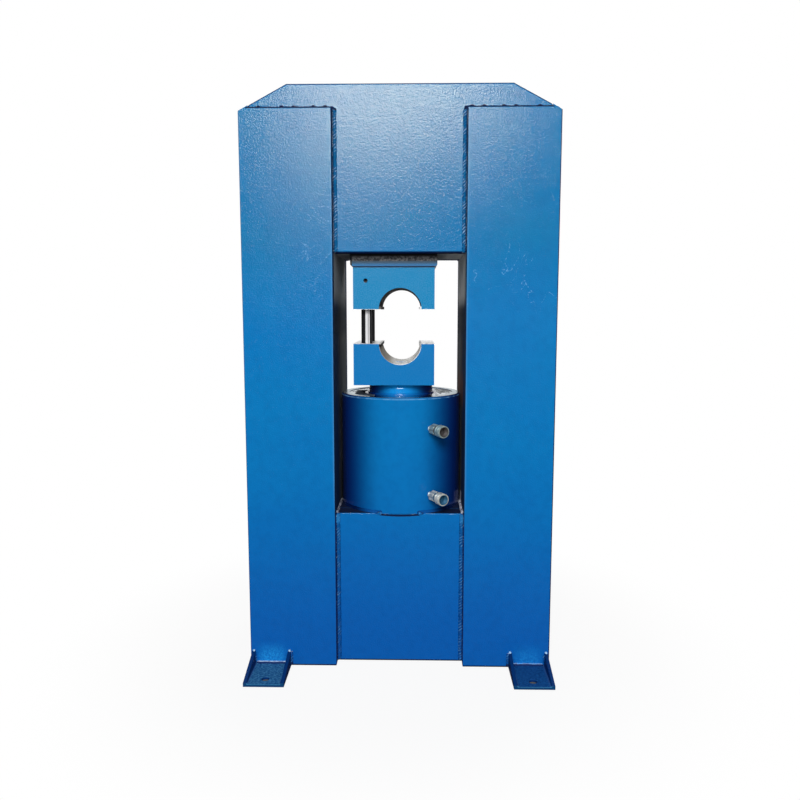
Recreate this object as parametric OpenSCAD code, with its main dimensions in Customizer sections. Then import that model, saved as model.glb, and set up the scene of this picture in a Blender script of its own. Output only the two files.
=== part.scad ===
// Hydraulic swaging press: a welded plate frame round a window, a hydraulic cylinder that stands in the
// window, and a split round die set above it. Millimetres, +Z up, front towards -Y, and the origin on the
// floor at the middle of the base. The ram is modelled fully retracted.

/* [Frame] */
// Width over both columns
frame_width = 720; // [680:1:800]
// Clear width of the window between the columns
window_width = 304; // [302:1:330]
// Height of the bed's top face above the floor
bed_height = 371; // [320:1:420]
// Clear height of the window
window_height = 615.5; // [600:0.5:680]
// Height of the crown above the window
crown_height = 374.5; // [330:0.5:420]
// Depth of the crown, the bed and the side plates
core_depth = 290; // [286:1:320]
// Thickness of the column plates
column_plate = 30; // [20:1:40]
// Thickness of the outer side plates
side_plate = 16; // [10:1:20]
// Thickness of the plates that line the window
wall_plate = 20; // [12:1:30]
// Thickness of the front and rear plates of the crown and the bed
beam_plate = 50; // [40:1:60]
// Thickness of the bearing plates that take the pressing force
bearing_plate = 50; // [40:1:80]
// Thickness of the inner ribs
rib_plate = 20; // [12:1:30]
// Distance between the middles of the two ribs
rib_spacing = 200; // [120:1:280]
// Width of the crown's flat top
crown_flat = 512; // [460:1:560]
// Height from the crown's shoulders to its top
shoulder_drop = 55; // [40:1:70]
// Thickness of the crown's folded top cover
cover_plate = 12; // [8:1:16]
// Height from the tops of the column plates to the crown's shoulders
column_drop = 5; // [2:0.5:12]
// Width of the cut on the upper outer corner of a column plate
corner_cut = 11; // [6:1:20]

/* [Feet] */
// Width of the channel that a foot is cut from
foot_width = 94; // [80:1:110]
// Length of a foot in front of its column
foot_length = 108; // [90:1:130]
// Height of the channel's flanges
foot_height = 37; // [30:1:46]
// Height that the slanting cut leaves of the flanges at the toe
foot_toe = 9; // [8:1:14]
// Thickness of the channel's web
foot_web = 6; // [5:0.5:7]
// Thickness of the channel's flanges
foot_flange = 8; // [6:0.5:11]
// Radius between web and flanges
foot_root = 6; // [3:0.5:9]
// Distance from the column's outer edge to the foot
foot_inset = 4; // [0:1:12]
// Diameter of the anchor holes
anchor_hole = 18; // [14:1:22]
// Distance from the toe to the anchor hole
anchor_setback = 27; // [22:1:36]

/* [Cylinder] */
// Outer diameter of the barrel
barrel_diameter = 300; // [284:1:302]
// Bore of the barrel
bore_diameter = 220; // [210:1:230]
// Height of the barrel
barrel_height = 279; // [270:1:300]
// Bevel on the barrel's upper rim
barrel_bevel = 4; // [2:0.5:6]
// Thickness of the welded-in base
base_thickness = 36; // [30:1:42]
// Thread diameter of the gland
gland_diameter = 260; // [250:1:268]
// Length of the gland's thread
gland_thread = 40; // [36:1:46]
// Length of the gland's plain spigot in the bore
gland_spigot = 26; // [22:1:30]
// Depth of the gland below the barrel's rim
gland_recess = 1.5; // [0.5:0.5:3]
// Diameter of the spanner holes in the gland
spanner_hole = 11; // [8:1:14]
// Depth of the spanner holes
spanner_depth = 12; // [8:1:16]
// Distance from the gland's edge to the spanner holes
spanner_inset = 12; // [9:1:16]
// Radial width of the wiper and the rod seal
seal_width = 11; // [8:1:14]
// Height of the wiper's groove and of the rod seal's groove
seal_height = 12; // [9:1:13]
// Height of the wiper's lip above the gland
wiper_lip = 4; // [2:0.5:6]
// Radial width of the wiper's lip
wiper_lip_width = 4; // [3:0.5:7]
// Wall of the rod bush
rod_bush_wall = 5; // [3:0.5:8]
// Section diameter of the O-ring round the gland
o_ring_section = 6; // [4:0.5:7]
// Diameter of the oil ports
port_diameter = 10; // [6:1:12]

/* [Ram] */
// Diameter of the ram
ram_diameter = 160; // [150:1:168]
// Length of the retracted ram above the barrel
ram_exposed = 25; // [20:1:36]
// Height of the taper round the ram's top
ram_taper = 10.5; // [6:0.5:14]
// Radial depth of the taper round the ram's top
ram_taper_depth = 4; // [2:0.5:6]
// Thickness of the piston
piston_thickness = 60; // [52:1:66]
// Diameter of the ram's tail inside the piston
tail_diameter = 100; // [80:1:120]
// Depth of the shoulder between the tail and its thread
tail_step = 5; // [3:0.5:8]
// Width across the flats of the piston nut
nut_width = 140; // [134:1:160]
// Thickness of the piston nut
nut_thickness = 17; // [14:1:24]
// Radial width of the piston seal
piston_seal_width = 12; // [8:1:16]
// Height of the piston seal
piston_seal_height = 14; // [10:1:16]
// Radial width of the wear rings
wear_ring_width = 4; // [2:0.5:6]
// Height of the wear rings
wear_ring_height = 10; // [6:1:12]
// Diameter of the locating boss on the ram
boss_diameter = 70; // [50:1:90]
// Height of the locating boss
boss_height = 8; // [4:1:12]

/* [Dies] */
// Reach of the die blocks to the left of the ram's axis
die_left = 112; // [106:1:120]
// Reach of the die blocks to the right of the ram's axis
die_right = 82; // [70:1:100]
// Depth of the die blocks from front to rear
die_depth = 200; // [190:1:230]
// Height of each die block
die_height = 100; // [92:1:110]
// Diameter of the half-round seats
seat_diameter = 100; // [80:1:110]
// Width of the retaining lips along the seats
lip_width = 4; // [2:0.5:6]
// Height of the retaining lips
lip_height = 7; // [4:0.5:9]
// Thickness of the plate behind the upper die
backing_plate = 30; // [24:1:40]
// Reach of the backing plate beyond the die on every side
backing_margin = 6; // [2:0.5:10]
// Bevel on the lower edges of the backing plate
backing_bevel = 5; // [2:0.5:8]
// Diameter of the guide pins
pin_diameter = 26; // [20:1:28]
// Distance from the dies' left faces to the guide pins
pin_edge = 30; // [24:1:32]
// Distance between the two guide pins
pin_spacing = 130; // [100:1:140]
// Depth of the guide pins in the upper die
pin_seat = 82; // [76:1:88]
// Length of the guide pins inside the lower die when the ram is down
pin_engagement = 25; // [16:1:40]
// Bevel on the guide pins' lower ends
pin_bevel = 3; // [1:0.5:5]
// Wall of the guide bushes
guide_bush_wall = 4; // [2:0.5:6]
// Length of the guide bushes
guide_bush_length = 50; // [40:1:70]
// Diameter of the set screws
set_screw_diameter = 10; // [8:1:12]
// Length of the set screws
set_screw_length = 14; // [8:1:18]
// Distance from the upper die's top to the set screws
set_screw_drop = 32; // [26:1:48]
// Diameter of the die screws
die_screw = 20; // [16:1:24]
// Length of a die screw's thread past the die
die_screw_grip = 26; // [20:1:28]

/* [Couplers] */
// Turn of the couplers to the right of the front
coupler_angle = 29; // [20:1:40]
// Diameter of the nipple
nipple_diameter = 13; // [11:0.5:15]
// Length of nipple between barrel and coupler body
nipple_length = 14; // [10:1:20]
// Depth of the nipple's thread in the barrel
nipple_thread = 16; // [12:1:18]
// Depth of the nipple in the coupler body
nipple_socket = 8; // [6:1:9]
// Width across the flats of the coupler body
hex_width = 24; // [22:0.5:28]
// Length of the hexagon
hex_length = 20; // [16:1:26]
// Diameter of the neck that carries the sleeve
neck_diameter = 16; // [15:0.5:17]
// Length of the neck
neck_length = 9; // [8:0.5:12]
// Thickness of the flange that keeps the sleeve on
flange_thickness = 3; // [2:0.5:4]
// Outer diameter of the sleeve
sleeve_diameter = 29; // [27:0.5:34]
// Diameter of the sleeve's rear end
sleeve_tail = 23; // [21:0.5:25]
// Length of the tapered part of the sleeve
sleeve_taper = 8; // [5:0.5:12]
// Gap between hexagon and sleeve
sleeve_gap = 2; // [1:0.5:3]
// Diameter of the socket in the sleeve
socket_diameter = 20; // [19:0.5:23]
// Depth of the socket in front of the flange
socket_depth = 17; // [14:1:22]
// Diameter of the valve chamber
chamber_diameter = 11; // [10:0.5:12]
// Thickness of the valve seat
valve_seat = 2.5; // [2:0.5:3]
// Diameter of the poppet's nose
poppet_nose = 8; // [6:0.5:8.5]
// Thickness of the poppet's head
poppet_head = 3; // [2:0.5:4]
// Length of the poppet's spring guide
poppet_guide = 4; // [3:0.5:6]
// Diameter of the spring wire
spring_wire = 1.2; // [0.8:0.1:1.3]
// Turns of the spring
spring_turns = 5; // [4:1:7]

/* [Welds] */
// Leg of the upright fillet welds between column plates, crown and bed
frame_weld = 10; // [6:1:14]
// Leg of the fillet welds along the tops of the column plates
top_weld = 10; // [6:0.5:12]
// Leg of the fillet welds between bed and window walls
wall_weld = 5.5; // [4:0.5:10]
// Leg of the fillet welds round the cylinder
barrel_weld = 7; // [5:0.5:9]
// Leg of the fillet welds at the feet
foot_weld = 6; // [4:0.5:8]

/* [Fits] */
// Radial clearance of parts that slide or turn
running = 0.06; // [0.03:0.01:0.1]
// Radial clearance of screwed and seated parts
seating = 0.1; // [0.05:0.01:0.2]
// Free space between faces that come to rest on each other
rest_gap = 0.3; // [0.2:0.05:0.5]

/* [Hidden] */
$fn = 96;
blue = [0.07, 0.40, 0.70];
steel = [0.74, 0.75, 0.77];
zinc = [0.62, 0.63, 0.62];
bronze = [0.72, 0.52, 0.26];
seal_black = [0.10, 0.10, 0.11];

// Frame levels and faces
half_width = frame_width / 2;
half_window = window_width / 2;
half_core = core_depth / 2;
half_depth = half_core + column_plate;
inner_half_width = half_width - side_plate;
inner_half_core = half_core - beam_plate;
crown_bottom = bed_height + window_height;
crown_top = crown_bottom + crown_height;
half_flat = crown_flat / 2;
shoulder_slope = shoulder_drop / (half_width - half_flat);
column_height = crown_top - shoulder_drop - column_drop;

// Foot places
foot_x = half_width - foot_inset - foot_width / 2;
anchor_y = half_depth + foot_length - anchor_setback;

// Cylinder levels and radii
barrel_radius = barrel_diameter / 2;
bore_radius = bore_diameter / 2;
barrel_top = bed_height + barrel_height;
base_top = bed_height + base_thickness;
gland_radius = gland_diameter / 2;
gland_top = barrel_top - gland_recess;
gland_step = gland_top - gland_thread;
gland_bottom = gland_step - gland_spigot;
spanner_radius = gland_radius - spanner_inset;
ram_radius = ram_diameter / 2;
groove_radius = ram_radius + seal_width;
rod_seal_top = gland_top - 2 * seal_height;
bush_top = rod_seal_top - seal_height - seal_height / 2;
port_radius = port_diameter / 2;
port_margin = port_radius + 2.5;
lower_port = base_top + port_margin;
upper_port = gland_bottom - port_margin;

// Ram levels
nut_bottom = base_top + rest_gap;
piston_bottom = nut_bottom + nut_thickness;
piston_top = piston_bottom + piston_thickness;
ram_top = barrel_top + ram_exposed;
tail_radius = tail_diameter / 2;
piston_middle = (piston_bottom + piston_top) / 2;

// Die levels and places
seat_radius = seat_diameter / 2;
lower_parting = ram_top + die_height;
upper_die_top = crown_bottom - backing_plate;
upper_parting = upper_die_top - die_height;
pin_x = pin_edge - die_left;
pin_radius = pin_diameter / 2;
pin_y = pin_spacing / 2;
guide_bush_radius = pin_radius + guide_bush_wall;
set_screw_z = upper_die_top - set_screw_drop;
screw_radius = die_screw / 2;
screw_head_radius = 0.75 * die_screw;
screw_head_height = die_screw;
screw_head_sink = 3;

// Coupler stations, measured outwards from the barrel's axis
hex_start = barrel_radius + nipple_length;
hex_end = hex_start + hex_length;
flange_start = hex_end + neck_length;
coupler_face = flange_start + flange_thickness;
sleeve_start = hex_end + sleeve_gap;
sleeve_end = coupler_face + socket_depth;
nipple_end = hex_start + nipple_socket;
chamber_end = coupler_face - valve_seat;
head_end = chamber_end - rest_gap;
head_start = head_end - poppet_head;
neck_radius = neck_diameter / 2;
socket_radius = socket_diameter / 2;
chamber_radius = chamber_diameter / 2;
flange_radius = socket_radius - rest_gap;

// Height of the crown's outline at a distance x from the middle
function crown_height_at(x) = crown_top - max(0, x - half_flat) * shoulder_slope;

// Shared shapes

// Block between two opposite corners
module block(low, high) {
    translate(low)
        cube(high - low);
}

// Outline in X and Z, extruded from y0 to y1
module upright(y0, y1) {
    translate([0, y1, 0])
        rotate([90, 0, 0])
            linear_extrude(y1 - y0)
                children();
}

// Children on the right-hand side, or their mirror image on the left
module on_side(side) {
    if (side > 0)
        children();
    else
        mirror([1, 0, 0])
            children();
}

// Children at the front, or their mirror image at the rear
module at_face(face) {
    if (face < 0)
        children();
    else
        mirror([0, 1, 0])
            children();
}

// Ring between two radii and two heights
module ring(inner, outer, bottom, top) {
    rotate_extrude()
        translate([inner, bottom])
            square([outer - inner, top - bottom]);
}

// Quarter-round weld bead along +Z, in the corner where its two legs meet
module bead(leg, length) {
    linear_extrude(length)
        intersection() {
            circle(leg, $fn = 48);
            square(leg);
        }
}

// Frame plates

module column_plate_solid(side, face) {
    cut_drop = corner_cut * shoulder_slope;
    color(blue)
        at_face(face)
            on_side(side)
                upright(-half_depth, -half_core)
                    polygon([
                        [half_window, 0],
                        [half_width, 0],
                        [half_width, column_height - cut_drop],
                        [half_width - corner_cut, column_height],
                        [half_window, column_height]
                    ]);
}

module left_front_column_plate() { column_plate_solid(-1, -1); }
module right_front_column_plate() { column_plate_solid(1, -1); }
module left_rear_column_plate() { column_plate_solid(-1, 1); }
module right_rear_column_plate() { column_plate_solid(1, 1); }

module outer_side_plate(side) {
    color(blue)
        on_side(side)
            upright(-half_core, half_core)
                polygon([
                    [inner_half_width, 0],
                    [half_width, 0],
                    [half_width, crown_height_at(half_width)],
                    [inner_half_width, crown_height_at(inner_half_width)]
                ]);
}

module left_outer_side_plate() { outer_side_plate(-1); }
module right_outer_side_plate() { outer_side_plate(1); }

module window_wall(side) {
    color(blue)
        on_side(side)
            block(
                [half_window, -half_core, bed_height],
                [half_window + wall_plate, half_core, crown_bottom]
            );
}

module left_window_wall() { window_wall(-1); }
module right_window_wall() { window_wall(1); }

module crown_face_plate(face) {
    color(blue)
        at_face(face)
            upright(-half_core, -inner_half_core)
                polygon([
                    [-inner_half_width, crown_bottom],
                    [inner_half_width, crown_bottom],
                    [inner_half_width, crown_height_at(inner_half_width)],
                    [half_flat, crown_top],
                    [-half_flat, crown_top],
                    [-inner_half_width, crown_height_at(inner_half_width)]
                ]);
}

module crown_front_plate() { crown_face_plate(-1); }
module crown_rear_plate() { crown_face_plate(1); }

module crown_bearing_plate() {
    color(blue)
        block(
            [-inner_half_width, -inner_half_core, crown_bottom],
            [inner_half_width, inner_half_core, crown_bottom + bearing_plate]
        );
}

// Plate folded along the crown's two shoulders
module crown_top_cover() {
    slant = cover_plate * sqrt(1 + shoulder_slope * shoulder_slope);
    inner_fold = half_flat - (slant - cover_plate) / shoulder_slope;
    edge_z = crown_height_at(inner_half_width);
    color(blue)
        upright(-inner_half_core, inner_half_core)
            polygon([
                [-inner_half_width, edge_z],
                [-inner_half_width, edge_z - slant],
                [-inner_fold, crown_top - cover_plate],
                [inner_fold, crown_top - cover_plate],
                [inner_half_width, edge_z - slant],
                [inner_half_width, edge_z],
                [half_flat, crown_top],
                [-half_flat, crown_top]
            ]);
}

module rib(side, bottom, top) {
    color(blue)
        on_side(side)
            block(
                [(rib_spacing - rib_plate) / 2, -inner_half_core, bottom],
                [(rib_spacing + rib_plate) / 2, inner_half_core, top]
            );
}

module crown_left_rib() { rib(-1, crown_bottom + bearing_plate, crown_top - cover_plate); }
module crown_right_rib() { rib(1, crown_bottom + bearing_plate, crown_top - cover_plate); }

module bed_face_plate(face) {
    color(blue)
        at_face(face)
            block(
                [-inner_half_width, -half_core, 0],
                [inner_half_width, -inner_half_core, bed_height]
            );
}

module bed_front_plate() { bed_face_plate(-1); }
module bed_rear_plate() { bed_face_plate(1); }

module bed_top_plate() {
    color(blue)
        block(
            [-inner_half_width, -inner_half_core, bed_height - bearing_plate],
            [inner_half_width, inner_half_core, bed_height]
        );
}

module bed_left_rib() { rib(-1, 0, bed_height - bearing_plate); }
module bed_right_rib() { rib(1, 0, bed_height - bearing_plate); }

// Feet

// Section of the channel, open at the top, about its own middle
module channel_section() {
    inner_width = foot_width - 2 * foot_flange;
    difference() {
        translate([-foot_width / 2, 0])
            square([foot_width, foot_height]);
        translate([-inner_width / 2, foot_web + foot_root])
            square([inner_width, foot_height]);
        translate([foot_root - inner_width / 2, foot_web])
            square([inner_width - 2 * foot_root, foot_height]);
        for (side = [-1, 1])
            translate([side * (inner_width / 2 - foot_root), foot_web + foot_root])
                circle(foot_root, $fn = 48);
    }
}

// Offcut of channel with its flanges cut on the slant from column to toe
module foot(side, face) {
    slant = atan((foot_height - foot_toe) / foot_length);
    color(blue)
        at_face(face)
            on_side(side)
                difference() {
                    translate([foot_x, 0, 0])
                        upright(-half_depth - foot_length, -half_depth)
                            channel_section();
                    translate([0, -half_depth, foot_height])
                        rotate([slant, 0, 0])
                            translate([0, -2 * foot_length, 0])
                                cube([2 * half_width, 2 * foot_length, 2 * foot_height]);
                    translate([foot_x, -anchor_y, -1])
                        cylinder(h = foot_web + 2, d = anchor_hole);
                }
}

module left_front_foot() { foot(-1, -1); }
module right_front_foot() { foot(1, -1); }
module left_rear_foot() { foot(-1, 1); }
module right_rear_foot() { foot(1, 1); }

// Welds

// Beads of one column plate and its foot, on the right at the front
module column_beads() {
    column_edge = half_width - corner_cut - top_weld;
    for (span = [[0, bed_height], [crown_bottom, column_height]])
        translate([half_window, -half_core, span[0]])
            rotate([0, 0, 180])
                bead(frame_weld, span[1] - span[0]);
    translate([half_window, -half_core, column_height])
        rotate([0, 90, 0])
            rotate([0, 0, 180])
                bead(top_weld, column_edge - half_window);
    translate([foot_x - foot_width / 2 + foot_flange, -half_depth, foot_web])
        translate([foot_root, 0, 0])
            rotate([0, 90, 0])
                rotate([0, 0, 180])
                    bead(foot_weld, foot_width - 2 * foot_flange - 2 * foot_root);
    translate([foot_x - foot_width / 2, -half_depth, 0])
        rotate([0, 0, 180])
            bead(foot_weld, foot_height);
}

module face_welds(face) {
    color(blue)
        at_face(face)
            for (side = [-1, 1])
                on_side(side)
                    column_beads();
}

module front_welds() { face_welds(-1); }
module rear_welds() { face_welds(1); }

// Beads beside the window walls and round the barrel, each ending where the next face leaves no room
module bed_top_welds() {
    clear_x = half_window - wall_weld - rest_gap;
    wall_start = sqrt(pow(barrel_radius, 2) - pow(min(clear_x, barrel_radius), 2)) + wall_weld;
    bead_radius = barrel_radius + barrel_weld;
    arc_start = acos((half_core - rest_gap) / bead_radius);
    arc_end = asin(clear_x / bead_radius) - 2;
    color(blue)
        for (side = [-1, 1], face = [-1, 1])
            at_face(face)
                on_side(side) {
                    translate([half_window, -half_core, bed_height])
                        rotate([-90, 0, 0])
                            rotate([0, 0, 180])
                                bead(wall_weld, half_core - wall_start);
                    translate([0, 0, bed_height])
                        rotate([0, 0, arc_start - 90])
                            rotate_extrude(angle = arc_end - arc_start)
                                translate([barrel_radius, 0])
                                    intersection() {
                                        circle(barrel_weld, $fn = 48);
                                        square(barrel_weld);
                                    }
                }
}

// Cylinder

module at_coupler(z) {
    translate([0, 0, z])
        rotate([0, 0, coupler_angle])
            rotate([90, 0, 0])
                children();
}

// Threaded mouth for a nipple and the oil passage behind it
module port_hole(z) {
    mouth_start = barrel_radius - nipple_thread - 1;
    at_coupler(z) {
        translate([0, 0, mouth_start])
            cylinder(h = barrel_radius, r = nipple_diameter / 2 + seating);
        cylinder(h = barrel_radius, r = port_radius);
    }
}

module cylinder_barrel() {
    thread_radius = gland_radius + seating;
    color(blue)
        difference() {
            rotate_extrude()
                polygon([
                    [bore_radius, bed_height],
                    [barrel_radius, bed_height],
                    [barrel_radius, barrel_top - barrel_bevel],
                    [barrel_radius - barrel_bevel, barrel_top],
                    [thread_radius, barrel_top],
                    [thread_radius, gland_step],
                    [bore_radius, gland_step]
                ]);
            for (z = [lower_port, upper_port])
                port_hole(z);
        }
}

module cylinder_base() {
    color(steel)
        translate([0, 0, bed_height])
            cylinder(h = base_thickness, r = bore_radius - seating);
}

module gland() {
    groove_half = o_ring_section / 2 + seating;
    groove_floor = bore_radius - o_ring_section - seating;
    groove_z = (gland_bottom + gland_step) / 2;
    bore = ram_radius + rest_gap;
    color(steel)
        difference() {
            rotate_extrude()
                polygon([
                    [bore, gland_bottom],
                    [bore_radius - seating, gland_bottom],
                    [bore_radius - seating, groove_z - groove_half],
                    [groove_floor, groove_z - groove_half],
                    [groove_floor, groove_z + groove_half],
                    [bore_radius - seating, groove_z + groove_half],
                    [bore_radius - seating, gland_step],
                    [gland_radius, gland_step],
                    [gland_radius, gland_top],
                    [groove_radius, gland_top],
                    [groove_radius, gland_top - seal_height],
                    [bore, gland_top - seal_height],
                    [bore, rod_seal_top],
                    [groove_radius, rod_seal_top],
                    [groove_radius, rod_seal_top - seal_height],
                    [bore, rod_seal_top - seal_height],
                    [bore, bush_top],
                    [ram_radius + rod_bush_wall, bush_top],
                    [ram_radius + rod_bush_wall, gland_bottom + seal_height / 2],
                    [bore, gland_bottom + seal_height / 2]
                ]);
            for (turn = [0:90:270])
                rotate([0, 0, turn])
                    translate([spanner_radius, 0, gland_top - spanner_depth])
                        cylinder(h = spanner_depth + 1, d = spanner_hole);
        }
}

module rod_bush() {
    color(bronze)
        ring(
            ram_radius + running, ram_radius + rod_bush_wall - seating,
            gland_bottom + seal_height / 2 + seating, bush_top - seating
        );
}

module rod_seal() {
    color(seal_black)
        ring(
            ram_radius + running, groove_radius - seating,
            rod_seal_top - seal_height + seating, rod_seal_top - seating
        );
}

// Scraper ring with a blunt lip round the ram
module wiper_ring() {
    outer = groove_radius - seating;
    shoulder = gland_top - seating;
    lip_outer = ram_radius + wiper_lip_width;
    lip_top = gland_top + wiper_lip;
    lip_bevel = min(wiper_lip, wiper_lip_width) / 2;
    color(blue)
        rotate_extrude()
            polygon([
                [ram_radius + running, gland_top - seal_height + seating],
                [outer, gland_top - seal_height + seating],
                [outer, shoulder],
                [lip_outer, shoulder],
                [lip_outer, lip_top - lip_bevel],
                [lip_outer - lip_bevel, lip_top],
                [ram_radius + running, lip_top]
            ]);
}

module gland_o_ring() {
    color(seal_black)
        translate([0, 0, (gland_bottom + gland_step) / 2])
            rotate_extrude()
                translate([bore_radius - seating - o_ring_section / 2, 0])
                    circle(d = o_ring_section);
}

// Ram

module ram() {
    thread_radius = tail_radius - tail_step;
    hole_depth = die_screw_grip + boss_height + 4;
    color(blue)
        difference() {
            rotate_extrude()
                polygon([
                    [0, nut_bottom + 2],
                    [thread_radius, nut_bottom + 2],
                    [thread_radius, piston_bottom],
                    [tail_radius, piston_bottom],
                    [tail_radius, piston_top],
                    [ram_radius, piston_top],
                    [ram_radius, ram_top - ram_taper],
                    [ram_radius - ram_taper_depth, ram_top],
                    [boss_diameter / 2, ram_top],
                    [boss_diameter / 2, ram_top + boss_height],
                    [0, ram_top + boss_height]
                ]);
            translate([0, 0, ram_top + boss_height - hole_depth])
                cylinder(h = hole_depth + 1, r = screw_radius + seating);
        }
}

module piston() {
    land = bore_radius - rest_gap;
    seal_floor = land - piston_seal_width;
    seal_half = piston_seal_height / 2;
    wear_floor = land - wear_ring_width;
    wear_low = piston_bottom + wear_ring_height / 2;
    wear_high = piston_top - wear_ring_height / 2;
    color(steel)
        rotate_extrude()
            polygon([
                [tail_radius + seating, piston_bottom],
                [land, piston_bottom],
                [land, wear_low],
                [wear_floor, wear_low],
                [wear_floor, wear_low + wear_ring_height],
                [land, wear_low + wear_ring_height],
                [land, piston_middle - seal_half],
                [seal_floor, piston_middle - seal_half],
                [seal_floor, piston_middle + seal_half],
                [land, piston_middle + seal_half],
                [land, wear_high - wear_ring_height],
                [wear_floor, wear_high - wear_ring_height],
                [wear_floor, wear_high],
                [land, wear_high],
                [land, piston_top],
                [tail_radius + seating, piston_top]
            ]);
}

module piston_seal() {
    half_height = piston_seal_height / 2 - seating;
    color(seal_black)
        ring(
            bore_radius - rest_gap - piston_seal_width + seating, bore_radius - running,
            piston_middle - half_height, piston_middle + half_height
        );
}

module piston_wear_rings() {
    wear_inner = bore_radius - rest_gap - wear_ring_width + seating;
    low = piston_bottom + wear_ring_height / 2;
    high = piston_top - 1.5 * wear_ring_height;
    color(bronze)
        for (z = [low, high])
            ring(wear_inner, bore_radius - running, z + seating, z + wear_ring_height - seating);
}

module piston_nut() {
    color(steel)
        difference() {
            translate([0, 0, nut_bottom])
                cylinder(h = nut_thickness, d = nut_width / cos(30), $fn = 6);
            translate([0, 0, nut_bottom - 1])
                cylinder(h = nut_thickness + 2, r = tail_radius - tail_step + seating);
        }
}

// Dies

// Section of a die block with its half-round seat upwards at z = 0, lips included
module die_section() {
    mouth = seat_radius - lip_width;
    difference() {
        translate([-die_left, -die_height])
            square([die_left + die_right, die_height]);
        difference() {
            circle(seat_radius);
            translate([-2 * seat_radius, -lip_height])
                square([4 * seat_radius, 2 * seat_radius]);
        }
        translate([-mouth, -2 * lip_height])
            square([2 * mouth, 4 * lip_height]);
    }
}

// Children at both guide pins
module at_pins() {
    for (face = [-1, 1])
        translate([pin_x, face * pin_y, 0])
            children();
}

module lower_die() {
    seat_floor = lower_parting - seat_radius;
    head_floor = seat_floor - screw_head_height - screw_head_sink;
    color(blue)
        difference() {
            upright(-die_depth / 2, die_depth / 2)
                translate([0, lower_parting])
                    die_section();
            at_pins()
                translate([0, 0, lower_parting - guide_bush_length])
                    cylinder(h = guide_bush_length + 1, r = guide_bush_radius);
            at_pins()
                translate([0, 0, ram_top - 1])
                    cylinder(h = die_height, r = pin_radius + 1);
            translate([0, 0, ram_top - 1])
                cylinder(h = boss_height + 2, r = boss_diameter / 2 + seating);
            translate([0, 0, ram_top])
                cylinder(h = die_height, r = screw_radius + 0.5);
            translate([0, 0, head_floor])
                cylinder(h = die_height / 2, r = screw_head_radius + 0.5);
        }
}

module guide_bush(face) {
    color(bronze)
        translate([pin_x, face * pin_y, 0])
            ring(
                pin_radius + running, guide_bush_radius - seating / 2,
                lower_parting - guide_bush_length, lower_parting - rest_gap
            );
}

module front_guide_bush() { guide_bush(-1); }
module rear_guide_bush() { guide_bush(1); }

// Socket head screw, head upwards on z = 0, with its shank below
module socket_screw(shank) {
    difference() {
        union() {
            cylinder(h = screw_head_height, r = screw_head_radius);
            translate([0, 0, -shank])
                cylinder(h = shank + 1, r = screw_radius);
        }
        translate([0, 0, screw_head_height / 2])
            cylinder(h = screw_head_height, d = screw_head_radius * 1.3, $fn = 6);
    }
}

module lower_die_screw() {
    head_floor = lower_parting - seat_radius - screw_head_height - screw_head_sink;
    color(steel)
        translate([0, 0, head_floor])
            socket_screw(head_floor - ram_top + die_screw_grip);
}

module upper_die() {
    seat_roof = upper_parting + seat_radius;
    color(blue)
        difference() {
            upright(-die_depth / 2, die_depth / 2)
                translate([0, upper_parting])
                    mirror([0, 1])
                        die_section();
            at_pins()
                translate([0, 0, upper_parting - 1])
                    cylinder(h = pin_seat + 1, r = pin_radius + running);
            for (face = [-1, 1])
                at_face(face)
                    translate([pin_x, -pin_y, set_screw_z])
                        rotate([90, 0, 0])
                            cylinder(h = die_depth, d = set_screw_diameter + 2 * running);
            translate([0, 0, seat_roof - 1])
                cylinder(h = die_height, r = screw_radius + 0.5);
            translate([0, 0, upper_parting + lip_height])
                cylinder(
                    h = seat_radius - lip_height + screw_head_height + screw_head_sink,
                    r = screw_head_radius + 0.5
                );
        }
}

module upper_die_screw() {
    head_floor = upper_parting + seat_radius + screw_head_height + screw_head_sink;
    color(steel)
        translate([0, 0, head_floor])
            rotate([180, 0, 0])
                socket_screw(upper_die_top - head_floor + die_screw_grip);
}

module die_backing_plate() {
    left = -die_left - backing_margin;
    right = die_right + backing_margin;
    half_plate = die_depth / 2 + backing_margin;
    color(blue)
        difference() {
            upright(-half_plate, half_plate)
                polygon([
                    [left, crown_bottom],
                    [left, upper_die_top + backing_bevel],
                    [left + backing_bevel, upper_die_top],
                    [right - backing_bevel, upper_die_top],
                    [right, upper_die_top + backing_bevel],
                    [right, crown_bottom]
                ]);
            translate([0, 0, upper_die_top - 1])
                cylinder(h = backing_plate + 2, r = screw_radius + seating);
        }
}

module guide_pin(face) {
    tip = lower_parting - pin_engagement;
    head = upper_parting + pin_seat - rest_gap;
    color(steel)
        translate([pin_x, face * pin_y, 0])
            rotate_extrude()
                polygon([
                    [0, tip],
                    [pin_radius - pin_bevel, tip],
                    [pin_radius, tip + pin_bevel],
                    [pin_radius, head],
                    [0, head]
                ]);
}

module front_guide_pin() { guide_pin(-1); }
module rear_guide_pin() { guide_pin(1); }

// Socket set screws that lock the guide pins from the front and from the rear
module pin_set_screws() {
    color(seal_black)
        for (face = [-1, 1])
            at_face(face)
                translate([pin_x, -pin_y - pin_radius - rest_gap, set_screw_z])
                    rotate([90, 0, 0])
                        difference() {
                            cylinder(h = set_screw_length, d = set_screw_diameter);
                            translate([0, 0, set_screw_length / 2])
                                cylinder(h = set_screw_length, d = set_screw_diameter * 0.6, $fn = 6);
                        }
}

// Couplers

module coupler_nipple(z) {
    color(steel)
        at_coupler(z)
            ring(port_radius * 0.7, nipple_diameter / 2, barrel_radius - nipple_thread, nipple_end);
}

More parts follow.
